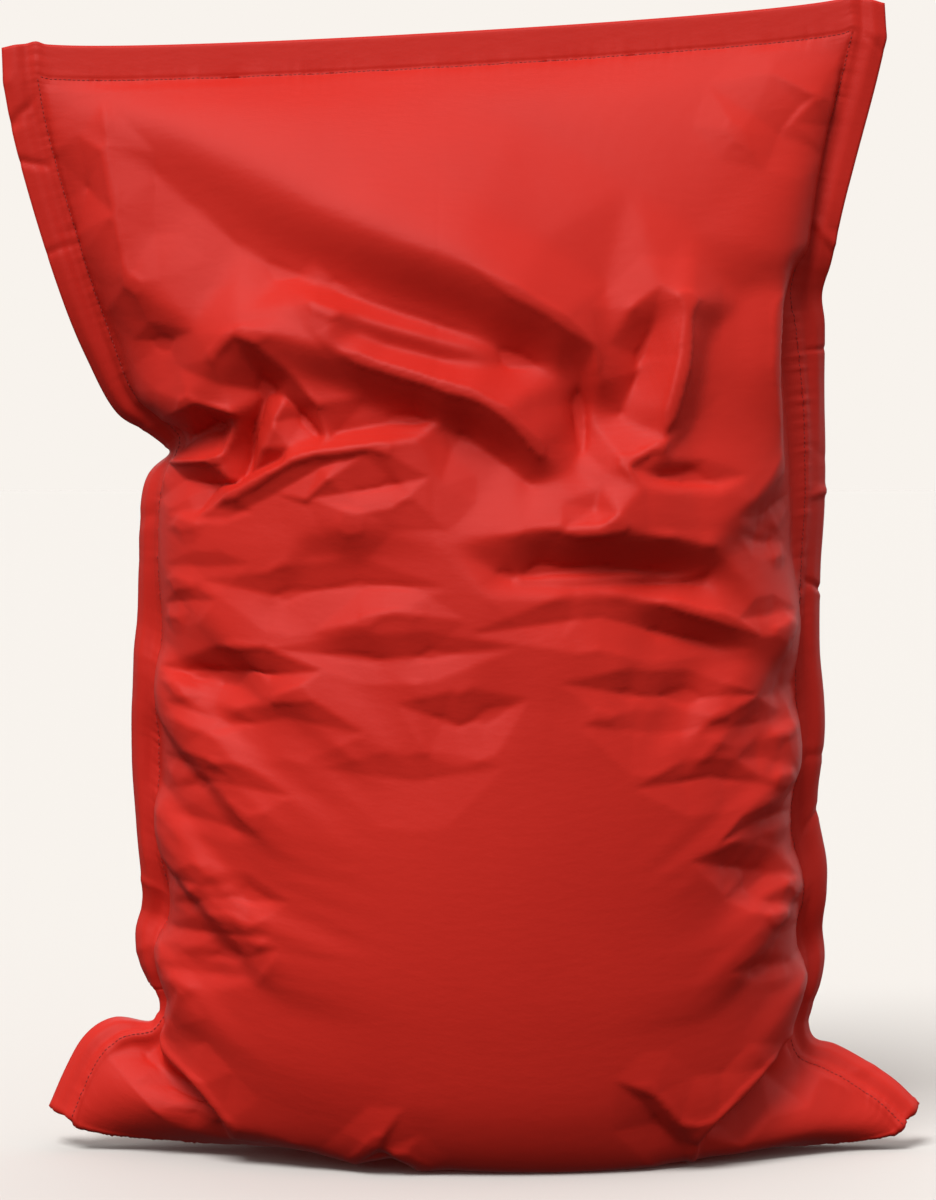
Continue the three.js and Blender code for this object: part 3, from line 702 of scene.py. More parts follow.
def refine(cloth, parts):
    """Each cell cut into smaller ones, with the new points on a smooth curve through their neighbours."""
    for axis in (1, 2):
        moved = np.moveaxis(cloth, axis, 0)
        before = np.concatenate([2 * moved[:1] - moved[1:2], moved[:-2]])
        after = np.concatenate([moved[2:], 2 * moved[-1:] - moved[-2:-1]])
        fine = np.empty((parts * (len(moved) - 1) + 1,) + moved.shape[1:], cloth.dtype)
        fine[-1] = moved[-1]
        for part in range(parts):
            t = part / parts
            fine[part:-1:parts] = (
                (-t + 2 * t**2 - t**3) * before
                + (2 - 5 * t**2 + 3 * t**3) * moved[:-1]
                + (t + 4 * t**2 - 3 * t**3) * moved[1:]
                + (t**3 - t**2) * after
            ) / 2
        cloth = np.moveaxis(fine, 0, axis)
    return np.ascontiguousarray(cloth)


def along_cut(shape, cell):
    """Each row's place between the bottom seam and the top one, and each column's distance from a seam."""
    rows, columns = shape.shape[1:3]
    v = np.clip((np.arange(rows) * cell - FLANGE) / (CUT_LENGTH - 2 * FLANGE), 0, 1)[:, None]
    from_side = np.minimum(np.arange(columns), np.arange(columns)[::-1]) * cell - FLANGE
    return v, from_side[None, :]


def both_panels(values):
    return np.repeat(values[None], 2, axis=0)


def hold_map(shape, cell):
    """How firmly each point is drawn to the standing shape: least where the cloth is slack."""
    v, from_side = along_cut(shape, cell)
    slack = bell(v, SLACK_AT, SLACK_WIDTH)
    hold = both_panels(HOLD + (TAUT_HOLD - HOLD) * (1 - slack) + 0 * from_side)
    near_seam = bell(np.maximum(from_side, 0), 0, NEAR_SEAM)
    near_top = bell(v, 1, NEAR_TOP)
    hold = np.maximum(hold, SEAM_HOLD * np.maximum(near_seam, near_top))
    hold = np.where(from_side <= 0, BORDER_HOLD, hold)
    hold += (BASE_HOLD - hold) * (1 - smoothstep(v, *BASE_ENDS))
    beside = smoothstep(np.abs(shape[1, ..., 0]), *HELD_BESIDE)
    above = smoothstep(np.abs(shape[1, ..., 2] - ZIP_Z), *HELD_ABOVE)
    patch = (1 - beside) * (1 - above) * (shape[1, ..., 1] > HELD_Y)
    hold[1] += (PATCH_HOLD - hold[1]) * patch
    return hold


def pressure_map(shape, cell):
    """How far the beads push the cloth out in each step: most in the lower body."""
    v, from_side = along_cut(shape, cell)
    inside = smoothstep(from_side, *PRESSED_SIDE) * smoothstep(v, *PRESSED_FROM)
    fill = 1 - PRESSURE_LOST * smoothstep(v, *PRESSURE_ENDS)
    return both_panels(INFLATION * HOLD * inside * fill)


def filled_map(shape, cell):
    """Where the beads stand behind the cloth: all of the lower body, and none of it at the top."""
    v, from_side = along_cut(shape, cell)
    inside = smoothstep(from_side, *FILLED_SIDE) * smoothstep(v, *FILLED_FROM)
    return both_panels(inside * (1 - smoothstep(v, *FILLED_ENDS)))


# Creases in the side borders. The long one's ridge and groove: how far out they lie and reach, by share.
LONG_RIDGE = (0.62, 0.3)
LONG_GROOVE = (0.3, 0.28)
LONG_KNOTS = 16
LONG_SIZE = (0.5, 4.5)
SHORT_CREASES = 18
SHORT_PLACE = (0.06, 0.97)
SHORT_SLOPE = (-0.8, 0.8)
SHORT_REACH = (5, 11)
SHORT_SIZE = (-3.5, 3.5)


def tent(x, middle, reach):
    return np.maximum(0, 1 - np.abs(x - middle) / reach)


def border_creases(rng, along, outward):
    """How far a side border stands out in its creases, at places along it and out from its seam."""
    share = outward / FLANGE
    knots = np.linspace(0, CUT_LENGTH, LONG_KNOTS)
    size = np.interp(along, knots, rng.uniform(*LONG_SIZE, LONG_KNOTS)) * MM
    stand = size * (tent(share, *LONG_RIDGE) - tent(share, *LONG_GROOVE))
    for place in np.sort(rng.uniform(*SHORT_PLACE, SHORT_CREASES)) * CUT_LENGTH:
        line = place + rng.uniform(*SHORT_SLOPE) * outward
        crease = tent(along, line, rng.uniform(*SHORT_REACH) * MM)
        stand += rng.uniform(*SHORT_SIZE) * MM * crease * smoothstep(share, 0, 0.5)
    return stand


# Where folds fade out: near the side seams, above the base and under the top seam.
FOLDS_SIDE = (0, 14 * MM)
FOLDS_FROM = (0.04, 0.07)
CRISP_SIDE = (0, 20 * MM)
CRISP_FROM = (0.02, 0.06)
TOP_FADE = (0.985, 1)


def folded(cloth, cell):
    """The settled cloth with its folds pressed in, then let go until its threads have their length again."""
    rng = np.random.default_rng(5)
    front_folds = FOLDS + side_puckers(rng, *FRONT_PUCKERS)
    back_folds = side_puckers(rng, *BACK_PUCKERS)
    v, from_side = along_cut(cloth, cell)
    inside = smoothstep(from_side, *FOLDS_SIDE) * smoothstep(v, *FOLDS_FROM) * (1 - smoothstep(v, *TOP_FADE))
    patch = hold_map(standing_shape(cell), cell)[1] > PATCH_HOLD / 2
    height = ROLL_SCALE * rounded_diagonal(facet_map(ROLLS, ROLL_CLEARANCE, ROLL_RADIUS))
    height += CREASE_SCALE * facet_map(CREASES, CREASE_CLEARANCE, CREASE_RADIUS)
    x, z = cloth[..., 0], cloth[..., 2]
    depth = inside * np.stack([fold_depth(x[0], z[0], front_folds), fold_depth(x[1], z[1], back_folds)])
    depth[0] -= inside * facet_height(x[0], z[0], height)
    depth[1][patch] = 0
    normals = outward_normals(cloth)
    goal = cloth - normals * depth[..., None]
    edge = round(FLANGE / cell)
    along = v * (CUT_LENGTH - 2 * FLANGE)
    for border in (slice(0, edge), slice(-edge, None)):
        stand = border_creases(rng, along, -from_side[:, border])
        goal[:, :, border] += stand[..., None] * normals[0][:, border]
    none = np.zeros(goal.shape[:3])
    cloth = relax(goal.copy(), goal, none + FOLDED_HOLD, none, none, cell, *LETTING_GO, [], 0.0)
    return crisp(cloth, cell, patch)


def smoothed(values, cell, reach):
    """Averages over a square window, twice."""
    width = 2 * round(reach / cell) + 1
    for axis in (1, 2, 1, 2):
        moved = np.moveaxis(values, axis, 0)
        padded = np.concatenate([moved[:1]] * (width // 2) + [moved] + [moved[-1:]] * (width // 2))
        total = np.cumsum(padded, axis=0)
        total = np.concatenate([0 * total[:1], total])
        values = np.moveaxis((total[width:] - total[:-width]) / width, 0, axis)
    return values


CRISPNESS = 0.8
NORMAL_REACH = 10 * MM
WAVE_REACH = 22 * MM
SIZE_REACH = 30 * MM
LEAST_SIZE = 0.4 * MM


def crisp(cloth, cell, patch):
    """Stiff cloth bends in creases, not in waves: its folds get sharp crests and straight flanks."""
    normals = outward_normals(smoothed(cloth, cell, NORMAL_REACH))
    wave = np.einsum("...k,...k->...", cloth - smoothed(cloth, cell, WAVE_REACH), normals)
    size = np.sqrt(2 * smoothed(wave**2, cell, SIZE_REACH)) + LEAST_SIZE
    share = np.clip(wave / size, -1, 1)
    creased = size * np.arcsin(share) * 2 / math.pi
    v, from_side = along_cut(cloth, cell)
    inside = smoothstep(from_side, *CRISP_SIDE) * smoothstep(v, *CRISP_FROM) * (1 - smoothstep(v, *TOP_FADE))
    strength = both_panels(CRISPNESS * inside)
    strength[1][patch] = 0
    return cloth + normals * (strength * (creased - wave))[..., None]


FIRST_CELL = 20 * MM
# The rounds of settling, with cells half the size of the last: (steps, sweeps, bending stiffness by reach).
ROUNDS = [(120, 12, [(2, 0.5), (4, 0.25)]), (50, 12, [(4, 0.4), (8, 0.2)])]
LETTING_GO = (3, 2)  # steps and sweeps once the folds are in
UNEVENNESS = 0.01
FINEST_PARTS = 3
SLACK_FROM = (0.16, 0.26)  # above this the cloth hangs in soft dents, and above the next it is taut again
SLACK_TO = (0.42, 0.56)
SEWN_REACH = 60 * MM


def settled_cover():
    """The finished cloth and the size of its cells."""
    rng = np.random.default_rng(7)
    cell = FIRST_CELL
    cloth = standing_shape(cell)
    for number, (steps, sweeps, bends) in enumerate(ROUNDS):
        if number > 0:
            cell /= 2
            cloth = refine(cloth, 2)
        goal = standing_shape(cell)
        cloth = cloth + rng.normal(0, UNEVENNESS * cell, cloth.shape)
        hold = hold_map(goal, cell)
        pressure = pressure_map(goal, cell)
        filled = filled_map(goal, cell)
        cloth = relax(cloth, goal, hold, pressure, filled, cell, steps, sweeps, bends, SQUEEZE)
    v, from_side = along_cut(cloth, cell)
    taut = (1 - smoothstep(v, *SLACK_FROM) * (1 - smoothstep(v, *SLACK_TO)) + 0 * from_side)[..., None]
    from_end = np.minimum(v, 1 - v) * (CUT_LENGTH - 2 * FLANGE)
    near_seam = bell(np.maximum(np.minimum(from_side, from_end), 0), 0, SEWN_REACH)[..., None]
    cloth[0] += taut * (goal[0] - cloth[0])
    cloth[1] += taut * near_seam * (goal[1] - cloth[1])
    cloth = refine(cloth, FINEST_PARTS)
    cell /= FINEST_PARTS
    return folded(cloth, cell), cell


# ---- meshes ----
def mesh_object(name, points, faces, cut=None):
    """A smooth mesh. cut is each point's place on the flat cloth, in metres, for the weave."""
    mesh = bpy.data.meshes.new(name)
    mesh.from_pydata(np.asarray(points).tolist(), [], np.asarray(faces).tolist())
    mesh.polygons.foreach_set("use_smooth", [True] * len(mesh.polygons))
    if cut is not None:
        loops = np.empty(len(mesh.loops), int)
        mesh.loops.foreach_get("vertex_index", loops)
        layer = mesh.uv_layers.new(name="cut")
        layer.data.foreach_set("uv", np.asarray(cut, float)[loops].ravel())
    mesh.update()
    piece = bpy.data.objects.new(name, mesh)
    bpy.context.scene.collection.objects.link(piece)
    return piece


def grid_faces(rows, columns, first=0):
    index = np.arange(rows * columns).reshape(rows, columns) + first
    quads = [index[:-1, :-1], index[:-1, 1:], index[1:, 1:], index[1:, :-1]]
    return np.stack(quads, -1).reshape(-1, 4)


def shell(name, outer, inner, flip, cell, corner=(0, 0)):
    """A closed sheet between two grids of points, and its place on the flat cloth."""
    rows, columns = outer.shape[:2]
    count = rows * columns
    index = np.arange(count).reshape(rows, columns)
    ring = np.concatenate([index[0, :-1], index[:-1, -1], index[-1, :0:-1], index[:0:-1, 0]])
    ahead = np.roll(ring, -1)
    faces = np.concatenate([
        grid_faces(rows, columns),
        grid_faces(rows, columns, count)[:, ::-1],
        np.stack([ring, ring + count, ahead + count, ahead], -1),
    ])
    if flip:
        faces = faces[:, ::-1]
    across, up = np.meshgrid(np.arange(columns) * cell + corner[0], np.arange(rows) * cell + corner[1])
    cut = np.stack([across.ravel(), up.ravel()], -1)
    points = np.concatenate([outer.reshape(-1, 3), inner.reshape(-1, 3)])
    return mesh_object(name, points, faces, np.concatenate([cut, cut]))


def build(piece, body, slot, material, *nodes):
    """Hides the frame's nodes that a piece replaces, and sets what it moves with and what it is made of."""
    if nodes:
        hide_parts(*nodes)
    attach(piece, body)
    piece.data.materials.append(material)
    return piece


# ---- materials ----
MIX_FIRST, MIX_SECOND, MIX_RESULT = 6, 7, 2  # the colour sockets of a Mix node
WAVE_BANDS = 20  # a wave texture's bands in two pi of its place


class Look:
    """A material with one shader, and short ways to put textures in front of it."""

    def __init__(self, name, colour, roughness, others=()):
        self.material = bpy.data.materials.new(name)
        self.material.use_nodes = True
        self.tree = self.material.node_tree
        self.shader = self.tree.nodes["Principled BSDF"]
        self.colour = (*colour, 1)
        self.shader.inputs["Base Color"].default_value = self.colour
        self.shader.inputs["Roughness"].default_value = roughness
        for socket, value in others:
            self.shader.inputs[socket].default_value = value

    def node(self, kind, **settings):
        made = self.tree.nodes.new("ShaderNode" + kind)
        for key, value in settings.items():
            if hasattr(made, key):
                setattr(made, key, value)
            else:
                made.inputs[key].default_value = value
        return made

    def link(self, source, target):
        self.tree.links.new(source, target)

    def place_on_cloth(self, stretch=(1, 1, 1)):
        """The place on the flat cloth in metres, stretched."""
        mapping = self.node("Mapping")
        mapping.inputs["Scale"].default_value = stretch
        self.link(self.node("UVMap", uv_map="cut").outputs["UV"], mapping.inputs["Vector"])
        return mapping.outputs["Vector"]

    def place_in_space(self):
        return self.node("TexCoord").outputs["Object"]

    def noise(self, place, scale, detail=2.0):
        made = self.node("TexNoise", Scale=scale, Detail=detail)
        self.link(place, made.inputs["Vector"])
        return made.outputs["Fac"]

    def threads(self, place, pitch, direction):
        scale = 2 * math.pi / (WAVE_BANDS * pitch)
        made = self.node("TexWave", wave_type="BANDS", bands_direction=direction, Scale=scale)
        self.link(place, made.inputs["Vector"])
        return made.outputs["Fac"]

    def combine(self, operation, a, b):
        made = self.node("Math", operation=operation)
        for socket, value in zip(made.inputs, (a, b)):
            if isinstance(value, (int, float)):
                socket.default_value = value
            else:
                self.link(value, socket)
        return made.outputs["Value"]

    def bump(self, height, distance):
        """One more layer of relief over what is there already."""
        made = self.node("Bump", Strength=1.0, Distance=distance)
        self.link(height, made.inputs["Height"])
        existing = self.shader.inputs["Normal"].links
        if existing:
            self.link(existing[0].from_socket, made.inputs["Normal"])
        self.link(made.outputs["Normal"], self.shader.inputs["Normal"])

    def tint(self, share, other):
        """The colour turns into another one where share is high."""
        mix = self.node("Mix", data_type="RGBA")
        source = self.shader.inputs["Base Color"].links
        if source:
            self.link(source[0].from_socket, mix.inputs[MIX_FIRST])
        else:
            mix.inputs[MIX_FIRST].default_value = self.colour
        mix.inputs[MIX_SECOND].default_value = (*other, 1)
        self.link(share, mix.inputs["Factor"])
        self.link(mix.outputs[MIX_RESULT], self.shader.inputs["Base Color"])

    def ramp(self, value, low, high):
        made = self.node("MapRange")
        made.inputs["From Min"].default_value = low
        made.inputs["From Max"].default_value = high
        self.link(value, made.inputs["Value"])
        return made.outputs["Result"]


def cover_cloth():
    """Satin coated polyester: a slow drift in colour, a fine weave, and small waves that run along it."""
    look = Look("cover_cloth", (0.60, 0.023, 0.014), 0.42, [("Specular IOR Level", 0.13)])
    place = look.place_on_cloth()
    look.tint(look.ramp(look.noise(place, 3.0, 3.0), 0.35, 0.75), (0.54, 0.019, 0.012))
    weave = look.combine("ADD", look.threads(place, 0.0011, "X"), look.threads(place, 0.0009, "Y"))
    look.bump(weave, 0.00006)
    look.bump(look.noise(look.place_on_cloth((1, 2.2, 1)), 45.0, 3.0), 0.0003)
    return look.material


def plain_cloth(name, colour, pitch, roughness=0.8):
    look = Look(name, colour, roughness)
    place = look.place_on_cloth()
    look.tint(look.ramp(look.noise(place, 60.0), 0.3, 0.8), tuple(0.82 * c for c in colour))
    weave = look.combine("ADD", look.threads(place, pitch, "X"), look.threads(place, pitch, "Y"))
    look.bump(weave, 0.0001)
    return look.material


def pile(name, colour, scale):
    look = Look(name, colour, 0.95)
    fuzz = look.noise(look.place_in_space(), scale, 4.0)
    look.tint(look.ramp(fuzz, 0.4, 0.7), tuple(0.5 * c for c in colour))
    look.bump(fuzz, 0.0006)
    return look.material


def thread_look():
    look = Look("thread", (0.26, 0.012, 0.01), 0.6)
    look.bump(look.noise(look.place_in_space(), 2500.0), 0.00005)
    return look.material


def nylon():
    look = Look("zip_plastic", (0.5, 0.03, 0.025), 0.38)
    look.bump(look.noise(look.place_in_space(), 900.0), 0.00003)
    return look.material


def metal():
    look = Look("zip_metal", (0.6, 0.6, 0.61), 0.32, [("Metallic", 1.0)])
    look.bump(look.noise(look.place_in_space(), 700.0), 0.00003)
    return look.material


def bead_look():
    look = Look("beads", (0.93, 0.93, 0.91), 0.8)
    cells = look.node("TexVoronoi", Scale=230.0)
    look.link(look.place_in_space(), cells.inputs["Vector"])
    look.bump(look.combine("SUBTRACT", 1.0, cells.outputs["Distance"]), 0.002)
    return look.material


# ---- the cover ----
cover, cell = settled_cover()
edge = round(FLANGE / cell)
ROWS = cover.shape[1]
COLUMNS = cover.shape[2]
ZIP_SHARE = 1 / 3  # how far up the back panel's cut the zip is
TAPE_OVERRUN = 7 * MM  # how far a zip's tape goes on past each end of its slot
SLOT_HALF_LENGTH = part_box("zip_tape_upper")[1].x - TAPE_OVERRUN
SLOT_HALF_HEIGHT = 6 * MM
SLOT_END_BLEND = 8 * MM
SLOT_REACH = 30 * MM  # the cloth beside the slot gives way over this height
SLOT_NEAR = 40 * MM
CUT_EDGE_GAP = 0.15 * MM
LEVEL_SEARCH = 6  # the zip's height is looked for within this part of the face
LEVEL_SPREAD = 0.12
zip_row = edge + round(ZIP_SHARE * (ROWS - 1 - 2 * edge))


def lying_flat(face, y, half_width, low, high, blend):
    """A back face brought onto the plane at y, inside a rectangle round the zip."""
    beside = smoothstep(np.abs(face[..., 0]), half_width, half_width + blend)
    under = smoothstep(low - face[..., 2], 0, blend)
    over = smoothstep(face[..., 2] - high, 0, blend)
    share = (1 - beside) * (1 - under) * (1 - over) * (face[..., 1] > 0.5 * y)
    flat = face.copy()
    flat[..., 1] += share * (y - flat[..., 1])
    return flat


def levelled(face, row, half_width, blend):
    """The same face with its points slid along it, so that one row runs level at the zip's height."""
    count = face.shape[0]
    index = np.arange(count)
    made = face.copy()
    for column in range(face.shape[1]):
        line = face[:, column]
        near = np.abs(index - row) < count // LEVEL_SEARCH
        at_zip = np.interp(ZIP_Z, line[near, 2], index[near])
        share = 1 - smoothstep(abs(np.interp(at_zip, index, line[:, 0])), half_width, half_width + blend)
        shift = (at_zip - row) * share
        spread = np.clip(1 - np.abs(index - row) / (count * LEVEL_SPREAD), 0, 1)
        wanted = index + shift * spread
        for k in range(3):
            made[:, column, k] = np.interp(wanted, index, line[:, k])
    return made


def opened(face, row, half_length, up):
    """The half of a face above or below the zip's row, its edge drawn back from the teeth."""
    part = face[row:].copy() if up > 0 else face[: row + 1][::-1].copy()
    reach = round(SLOT_REACH / cell)
    for k in range(reach):
        inside = 1 - smoothstep(np.abs(part[k, :, 0]), half_length, half_length + SLOT_END_BLEND)
        inside = inside * (np.abs(part[k, :, 2] - ZIP_Z) < SLOT_NEAR)
        gap = CUT_EDGE_GAP + (SLOT_HALF_HEIGHT - CUT_EDGE_GAP) * inside
        part[k, :, 2] += up * gap * (1 - k / reach)
    return part if up > 0 else part[::-1]


PUCKER_HEIGHT = 1.2 * MM
PUCKER_FADE = 9 * MM
SLOW_WAVE = np.ones(9) / 3
WAVE_SHARE = 0.35


def puckers(shape, rng):
    """How far the stitching makes the cloth stand up beside it, along all four sides of the border."""
    height = np.zeros(shape)
    rows, columns = np.indices(shape)
    sides = [
        (rows - edge, columns, shape[1]),
        (shape[0] - 1 - edge - rows, columns, shape[1]),
        (columns - edge, rows, shape[0]),
        (shape[1] - 1 - edge - columns, rows, shape[0]),
    ]
    for distance, along, count in sides:
        wave = rng.normal(0, 1, count)
        slow = np.convolve(rng.normal(0, 1, count), SLOW_WAVE, "same")
        height += WAVE_SHARE * (wave + slow)[along] * np.exp(-np.abs(distance * cell) / PUCKER_FADE)
    return PUCKER_HEIGHT * height


HEM_THICKNESS = 1.7 * MM
CUT_EDGE_THICKNESS = 1.2 * MM
STITCHED_THICKNESS = 0.7 * MM
INSIDE_GAP = 0.1 * MM


def thickness(shape):
    """The cloth is thicker in the hemmed border, and drawn in under the stitches."""
    rows, columns = np.indices(shape)
    inward = np.minimum(
        np.minimum(rows, shape[0] - 1 - rows), np.minimum(columns, shape[1] - 1 - columns)
    )
    thick = np.where(inward < edge, HEM_THICKNESS, CLOTH)
    thick = np.where(inward == 0, CUT_EDGE_THICKNESS, thick)
    return np.where(inward == edge, STITCHED_THICKNESS, thick)


# The rectangle round the zip where the cover lies flat: half its width, its bottom and top, and its blend.
COVER_FLAT = (205 * MM, 225 * MM, 372 * MM, 45 * MM)
COVER_LEVEL = (194 * MM, 120 * MM)  # half the width over which the zip's row is level, and its blend


def cover_pieces():
    """The front and the two back sheets. Returns the outer faces and the cloth's material."""
    rng = np.random.default_rng(21)
    cloth = cover_cloth()
    normals = outward_normals(cover)
    thick = thickness(cover.shape[1:3])
    faces = []
    for panel in (0, 1):
        raised = cover[panel] + normals[panel] * puckers(cover.shape[1:3], rng)[..., None]
        if panel == 1:
            raised = lying_flat(raised, PATCH_Y - CLOTH, *COVER_FLAT)
            raised = levelled(raised, zip_row, *COVER_LEVEL)
        faces.append(raised)
    faces = np.array(faces)
    normals = outward_normals(faces)
    layers = [
        [faces[panel] + normals[panel] * thick[..., None], faces[panel] + normals[panel] * INSIDE_GAP]
        for panel in (0, 1)
    ]
    front = shell("front_cloth", *layers[0], False, cell)
    build(front, "bag", "cover_cloth", cloth, "front_panel")
    zip_place = zip_row * cell
    for name, up, start, length in (
        ("back_cloth_lower", -1, 0, zip_place),
        ("back_cloth_upper", 1, zip_place, CUT_LENGTH - zip_place),
    ):
        outer, inner = [opened(layer, zip_row, SLOT_HALF_LENGTH, up) for layer in layers[1]]
        piece = shell(name, outer, inner, True, cell, (0, start))
        build(piece, "bag", "cover_cloth", cloth, name.replace("cloth", "panel"))
    return [layer[0] for layer in layers], cloth


(front_face, back_face), cloth_look = cover_pieces()


# ---- stitching ----
STITCH_SPOKES = 6
# Each ring of a stitch: its place along the stitch, its size and its height in thread radii.
STITCH_RINGS = [
    (-0.38, 0.25, -0.5), (-0.28, 0.85, 0.35), (0, 1, 0.8), (0.28, 0.85, 0.35), (0.38, 0.25, -0.5),
]
THREAD_RADIUS = 0.5 * MM
STITCH_AIM = 0.3  # the share of a stitch on each side that gives its direction
ZIP_SEAM_OFFSET = 15 * MM
thread = thread_look()


def read_along(values, run, places):
    return np.stack([np.interp(places, run, values[:, k]) for k in range(3)], -1)


def stitch_parts(line, normal):
    """Points and faces of the lockstitches along a line on a surface."""
    run = np.concatenate([[0], np.cumsum(np.linalg.norm(np.diff(line, axis=0), axis=1))])
    places = np.arange(STITCH_PITCH, run[-1] - STITCH_PITCH / 2, STITCH_PITCH)
    aim = STITCH_AIM * STITCH_PITCH
    centre = read_along(line, run, places)
    along = unit(read_along(line, run, places + aim) - read_along(line, run, places - aim))
    out = unit(read_along(normal, run, places))
    sideways = np.cross(along, out)
    points = []
    for place, size, height in STITCH_RINGS:
        for spoke in range(STITCH_SPOKES):
            turn = 2 * math.pi * spoke / STITCH_SPOKES
            points.append(
                centre
                + along * place * STITCH_PITCH
                + out * THREAD_RADIUS * (height + size * math.sin(turn))
                + sideways * THREAD_RADIUS * size * math.cos(turn)
            )
    points = np.stack(points, axis=1)
    rings = len(STITCH_RINGS)
    faces = []
    for ring in range(rings - 1):
        for spoke in range(STITCH_SPOKES):
            a = ring * STITCH_SPOKES + spoke
            b = ring * STITCH_SPOKES + (spoke + 1) % STITCH_SPOKES
            faces.append((a, b, b + STITCH_SPOKES, a + STITCH_SPOKES))
    count = rings * STITCH_SPOKES
    all_faces = np.array(faces)[None] + (np.arange(len(places)) * count)[:, None, None]
    return points.reshape(-1, 3), all_faces.reshape(-1, 4)


def stitching(name, body, lines):
    """One piece of all the stitches along some lines, each given with the direction out of the cloth."""
    points = []
    faces = []
    total = 0
    for line, normal in lines:
        some_points, some_faces = stitch_parts(line, normal)
        points.append(some_points)
        faces.append(some_faces + total)
        total += len(some_points)
    piece = mesh_object(name, np.concatenate(points), np.concatenate(faces))
    build(piece, body, "cover_cloth", thread)


def border_lines(face, normal):
    low, high, left, right = edge, ROWS - 1 - edge, edge, COLUMNS - 1 - edge
    for key in (
        (low, slice(left, right + 1)), (high, slice(left, right + 1)),
        (slice(low, high + 1), left), (slice(low, high + 1), right),
    ):
        yield face[key], normal[key]


def cover_stitching():
    """The stitches round the border on both faces, and those beside the zip."""
    outside = outward_normals(np.array([front_face, back_face]))
    stitching("border_stitching_front", "bag", border_lines(front_face, outside[0]))
    stitching("border_stitching_back", "bag", border_lines(back_face, outside[1]))
    beside_zip = max(1, round(ZIP_SEAM_OFFSET / cell))
    zip_lines = []
    for row, up in ((zip_row + beside_zip, 1), (zip_row - beside_zip, -1)):
        half = opened(back_face, zip_row, SLOT_HALF_LENGTH, up)
        line = half[beside_zip] if up > 0 else half[-1 - beside_zip]
        zip_lines.append((line[edge:-edge], outside[1][row, edge:-edge]))
    stitching("zip_seam_stitching", "bag", zip_lines)


cover_stitching()


# ---- the closure ----
STRIP_CELL = 5 * MM
COIL_PITCH = 1.9 * MM
WIRE_RADIUS = 0.36 * MM
WIRE_SPOKES = 5
COIL_TURN_POINTS = 10
COIL_LEAN = 0.25  # how far a turn of the coil leans along it, in pitches
COIL_MESH = 0.2 * MM  # how far each row reaches towards the other


def strip(name, node, body, slot, material):
    """A flat strip of cloth facing the back, where its node is."""
    low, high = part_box(node)
    columns = max(3, round((high.x - low.x) / STRIP_CELL) + 1)
    rows = max(4, round((high.z - low.z) / STRIP_CELL) + 1)
    x, z = np.meshgrid(np.linspace(low.x, high.x, columns), np.linspace(low.z, high.z, rows))
    outer, inner = [np.stack([x, y + 0 * x, z], -1) for y in (high.y, low.y)]
    piece = shell(name, outer, inner, True, STRIP_CELL)
    build(piece, body, slot, material, node)


def coil(name, node, shift, material):
    """A row of nylon coil, one closed loop of wire after another."""
    low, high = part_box(node)
    centres = np.arange(low.x + COIL_PITCH + shift * COIL_PITCH, high.x - COIL_PITCH, COIL_PITCH)
    turn = np.linspace(0, 2 * math.pi, COIL_TURN_POINTS, endpoint=False)
    middle_y, middle_z = (low.y + high.y) / 2, (low.z + high.z) / 2
    radius_y = (high.y - low.y) / 2 - WIRE_RADIUS
    radius_z = (high.z - low.z) / 2 - WIRE_RADIUS + COIL_MESH
    inward = math.copysign(COIL_MESH, ZIP_Z - middle_z)
    path = [COIL_LEAN * COIL_PITCH * np.sin(turn), radius_y * np.cos(turn), radius_z * np.sin(turn)]
    path = np.stack(path, -1)
    out = unit(np.stack([0 * turn, np.cos(turn) / radius_y, np.sin(turn) / radius_z], -1))
    across = np.array([1.0, 0, 0])
    rings = []
    for spoke in range(WIRE_SPOKES):
        angle = 2 * math.pi * spoke / WIRE_SPOKES
        rings.append(path + WIRE_RADIUS * (math.cos(angle) * out + math.sin(angle) * across))
    loop = np.stack(rings, axis=1).reshape(-1, 3)
    faces = []
    for k in range(COIL_TURN_POINTS):
        first = k * WIRE_SPOKES
        ahead = (k + 1) % COIL_TURN_POINTS * WIRE_SPOKES
        for spoke in range(WIRE_SPOKES):
            beside = (spoke + 1) % WIRE_SPOKES
            faces.append((first + spoke, first + beside, ahead + beside, ahead + spoke))
    offset = np.stack([centres, centres * 0 + middle_y, centres * 0 + middle_z + inward], -1)
    points = (loop[None] + offset[:, None]).reshape(-1, 3)
    count = np.arange(len(centres)) * len(loop)
    piece = mesh_object(name, points, (np.array(faces)[None] + count[:, None, None]).reshape(-1, 4))
    build(piece, "bag", "zip_plastic", material, node)


def zips():
    """The cover's zip and the liner's."""
    tape = plain_cloth("zip_cloth", (0.45, 0.025, 0.02), 0.0009)
    plastic = nylon()
    bare_metal = metal()
    for prefix in ("", "liner_"):
        for side, shift in (("upper", 0), ("lower", 0.5)):
            node = f"{prefix}zip_tape_{side}"
            strip(f"{node}_cloth", node, "bag", "zip_cloth", tape)
            coil(f"{prefix}zip_coil_{side}", f"{prefix}zip_teeth_{side}", shift, plastic)
            finish_node(f"{prefix}zip_top_stop_{side}", bare_metal)
        finish_node(f"{prefix}zip_bottom_stop", bare_metal)
        finish_node(f"{prefix}zip_slider", bare_metal)


def finish_node(node, material):
    """A node that stays as the frame has it, with its own material."""
    piece = bpy.data.objects[node]
    piece.data.materials.clear()
    piece.data.materials.append(material)


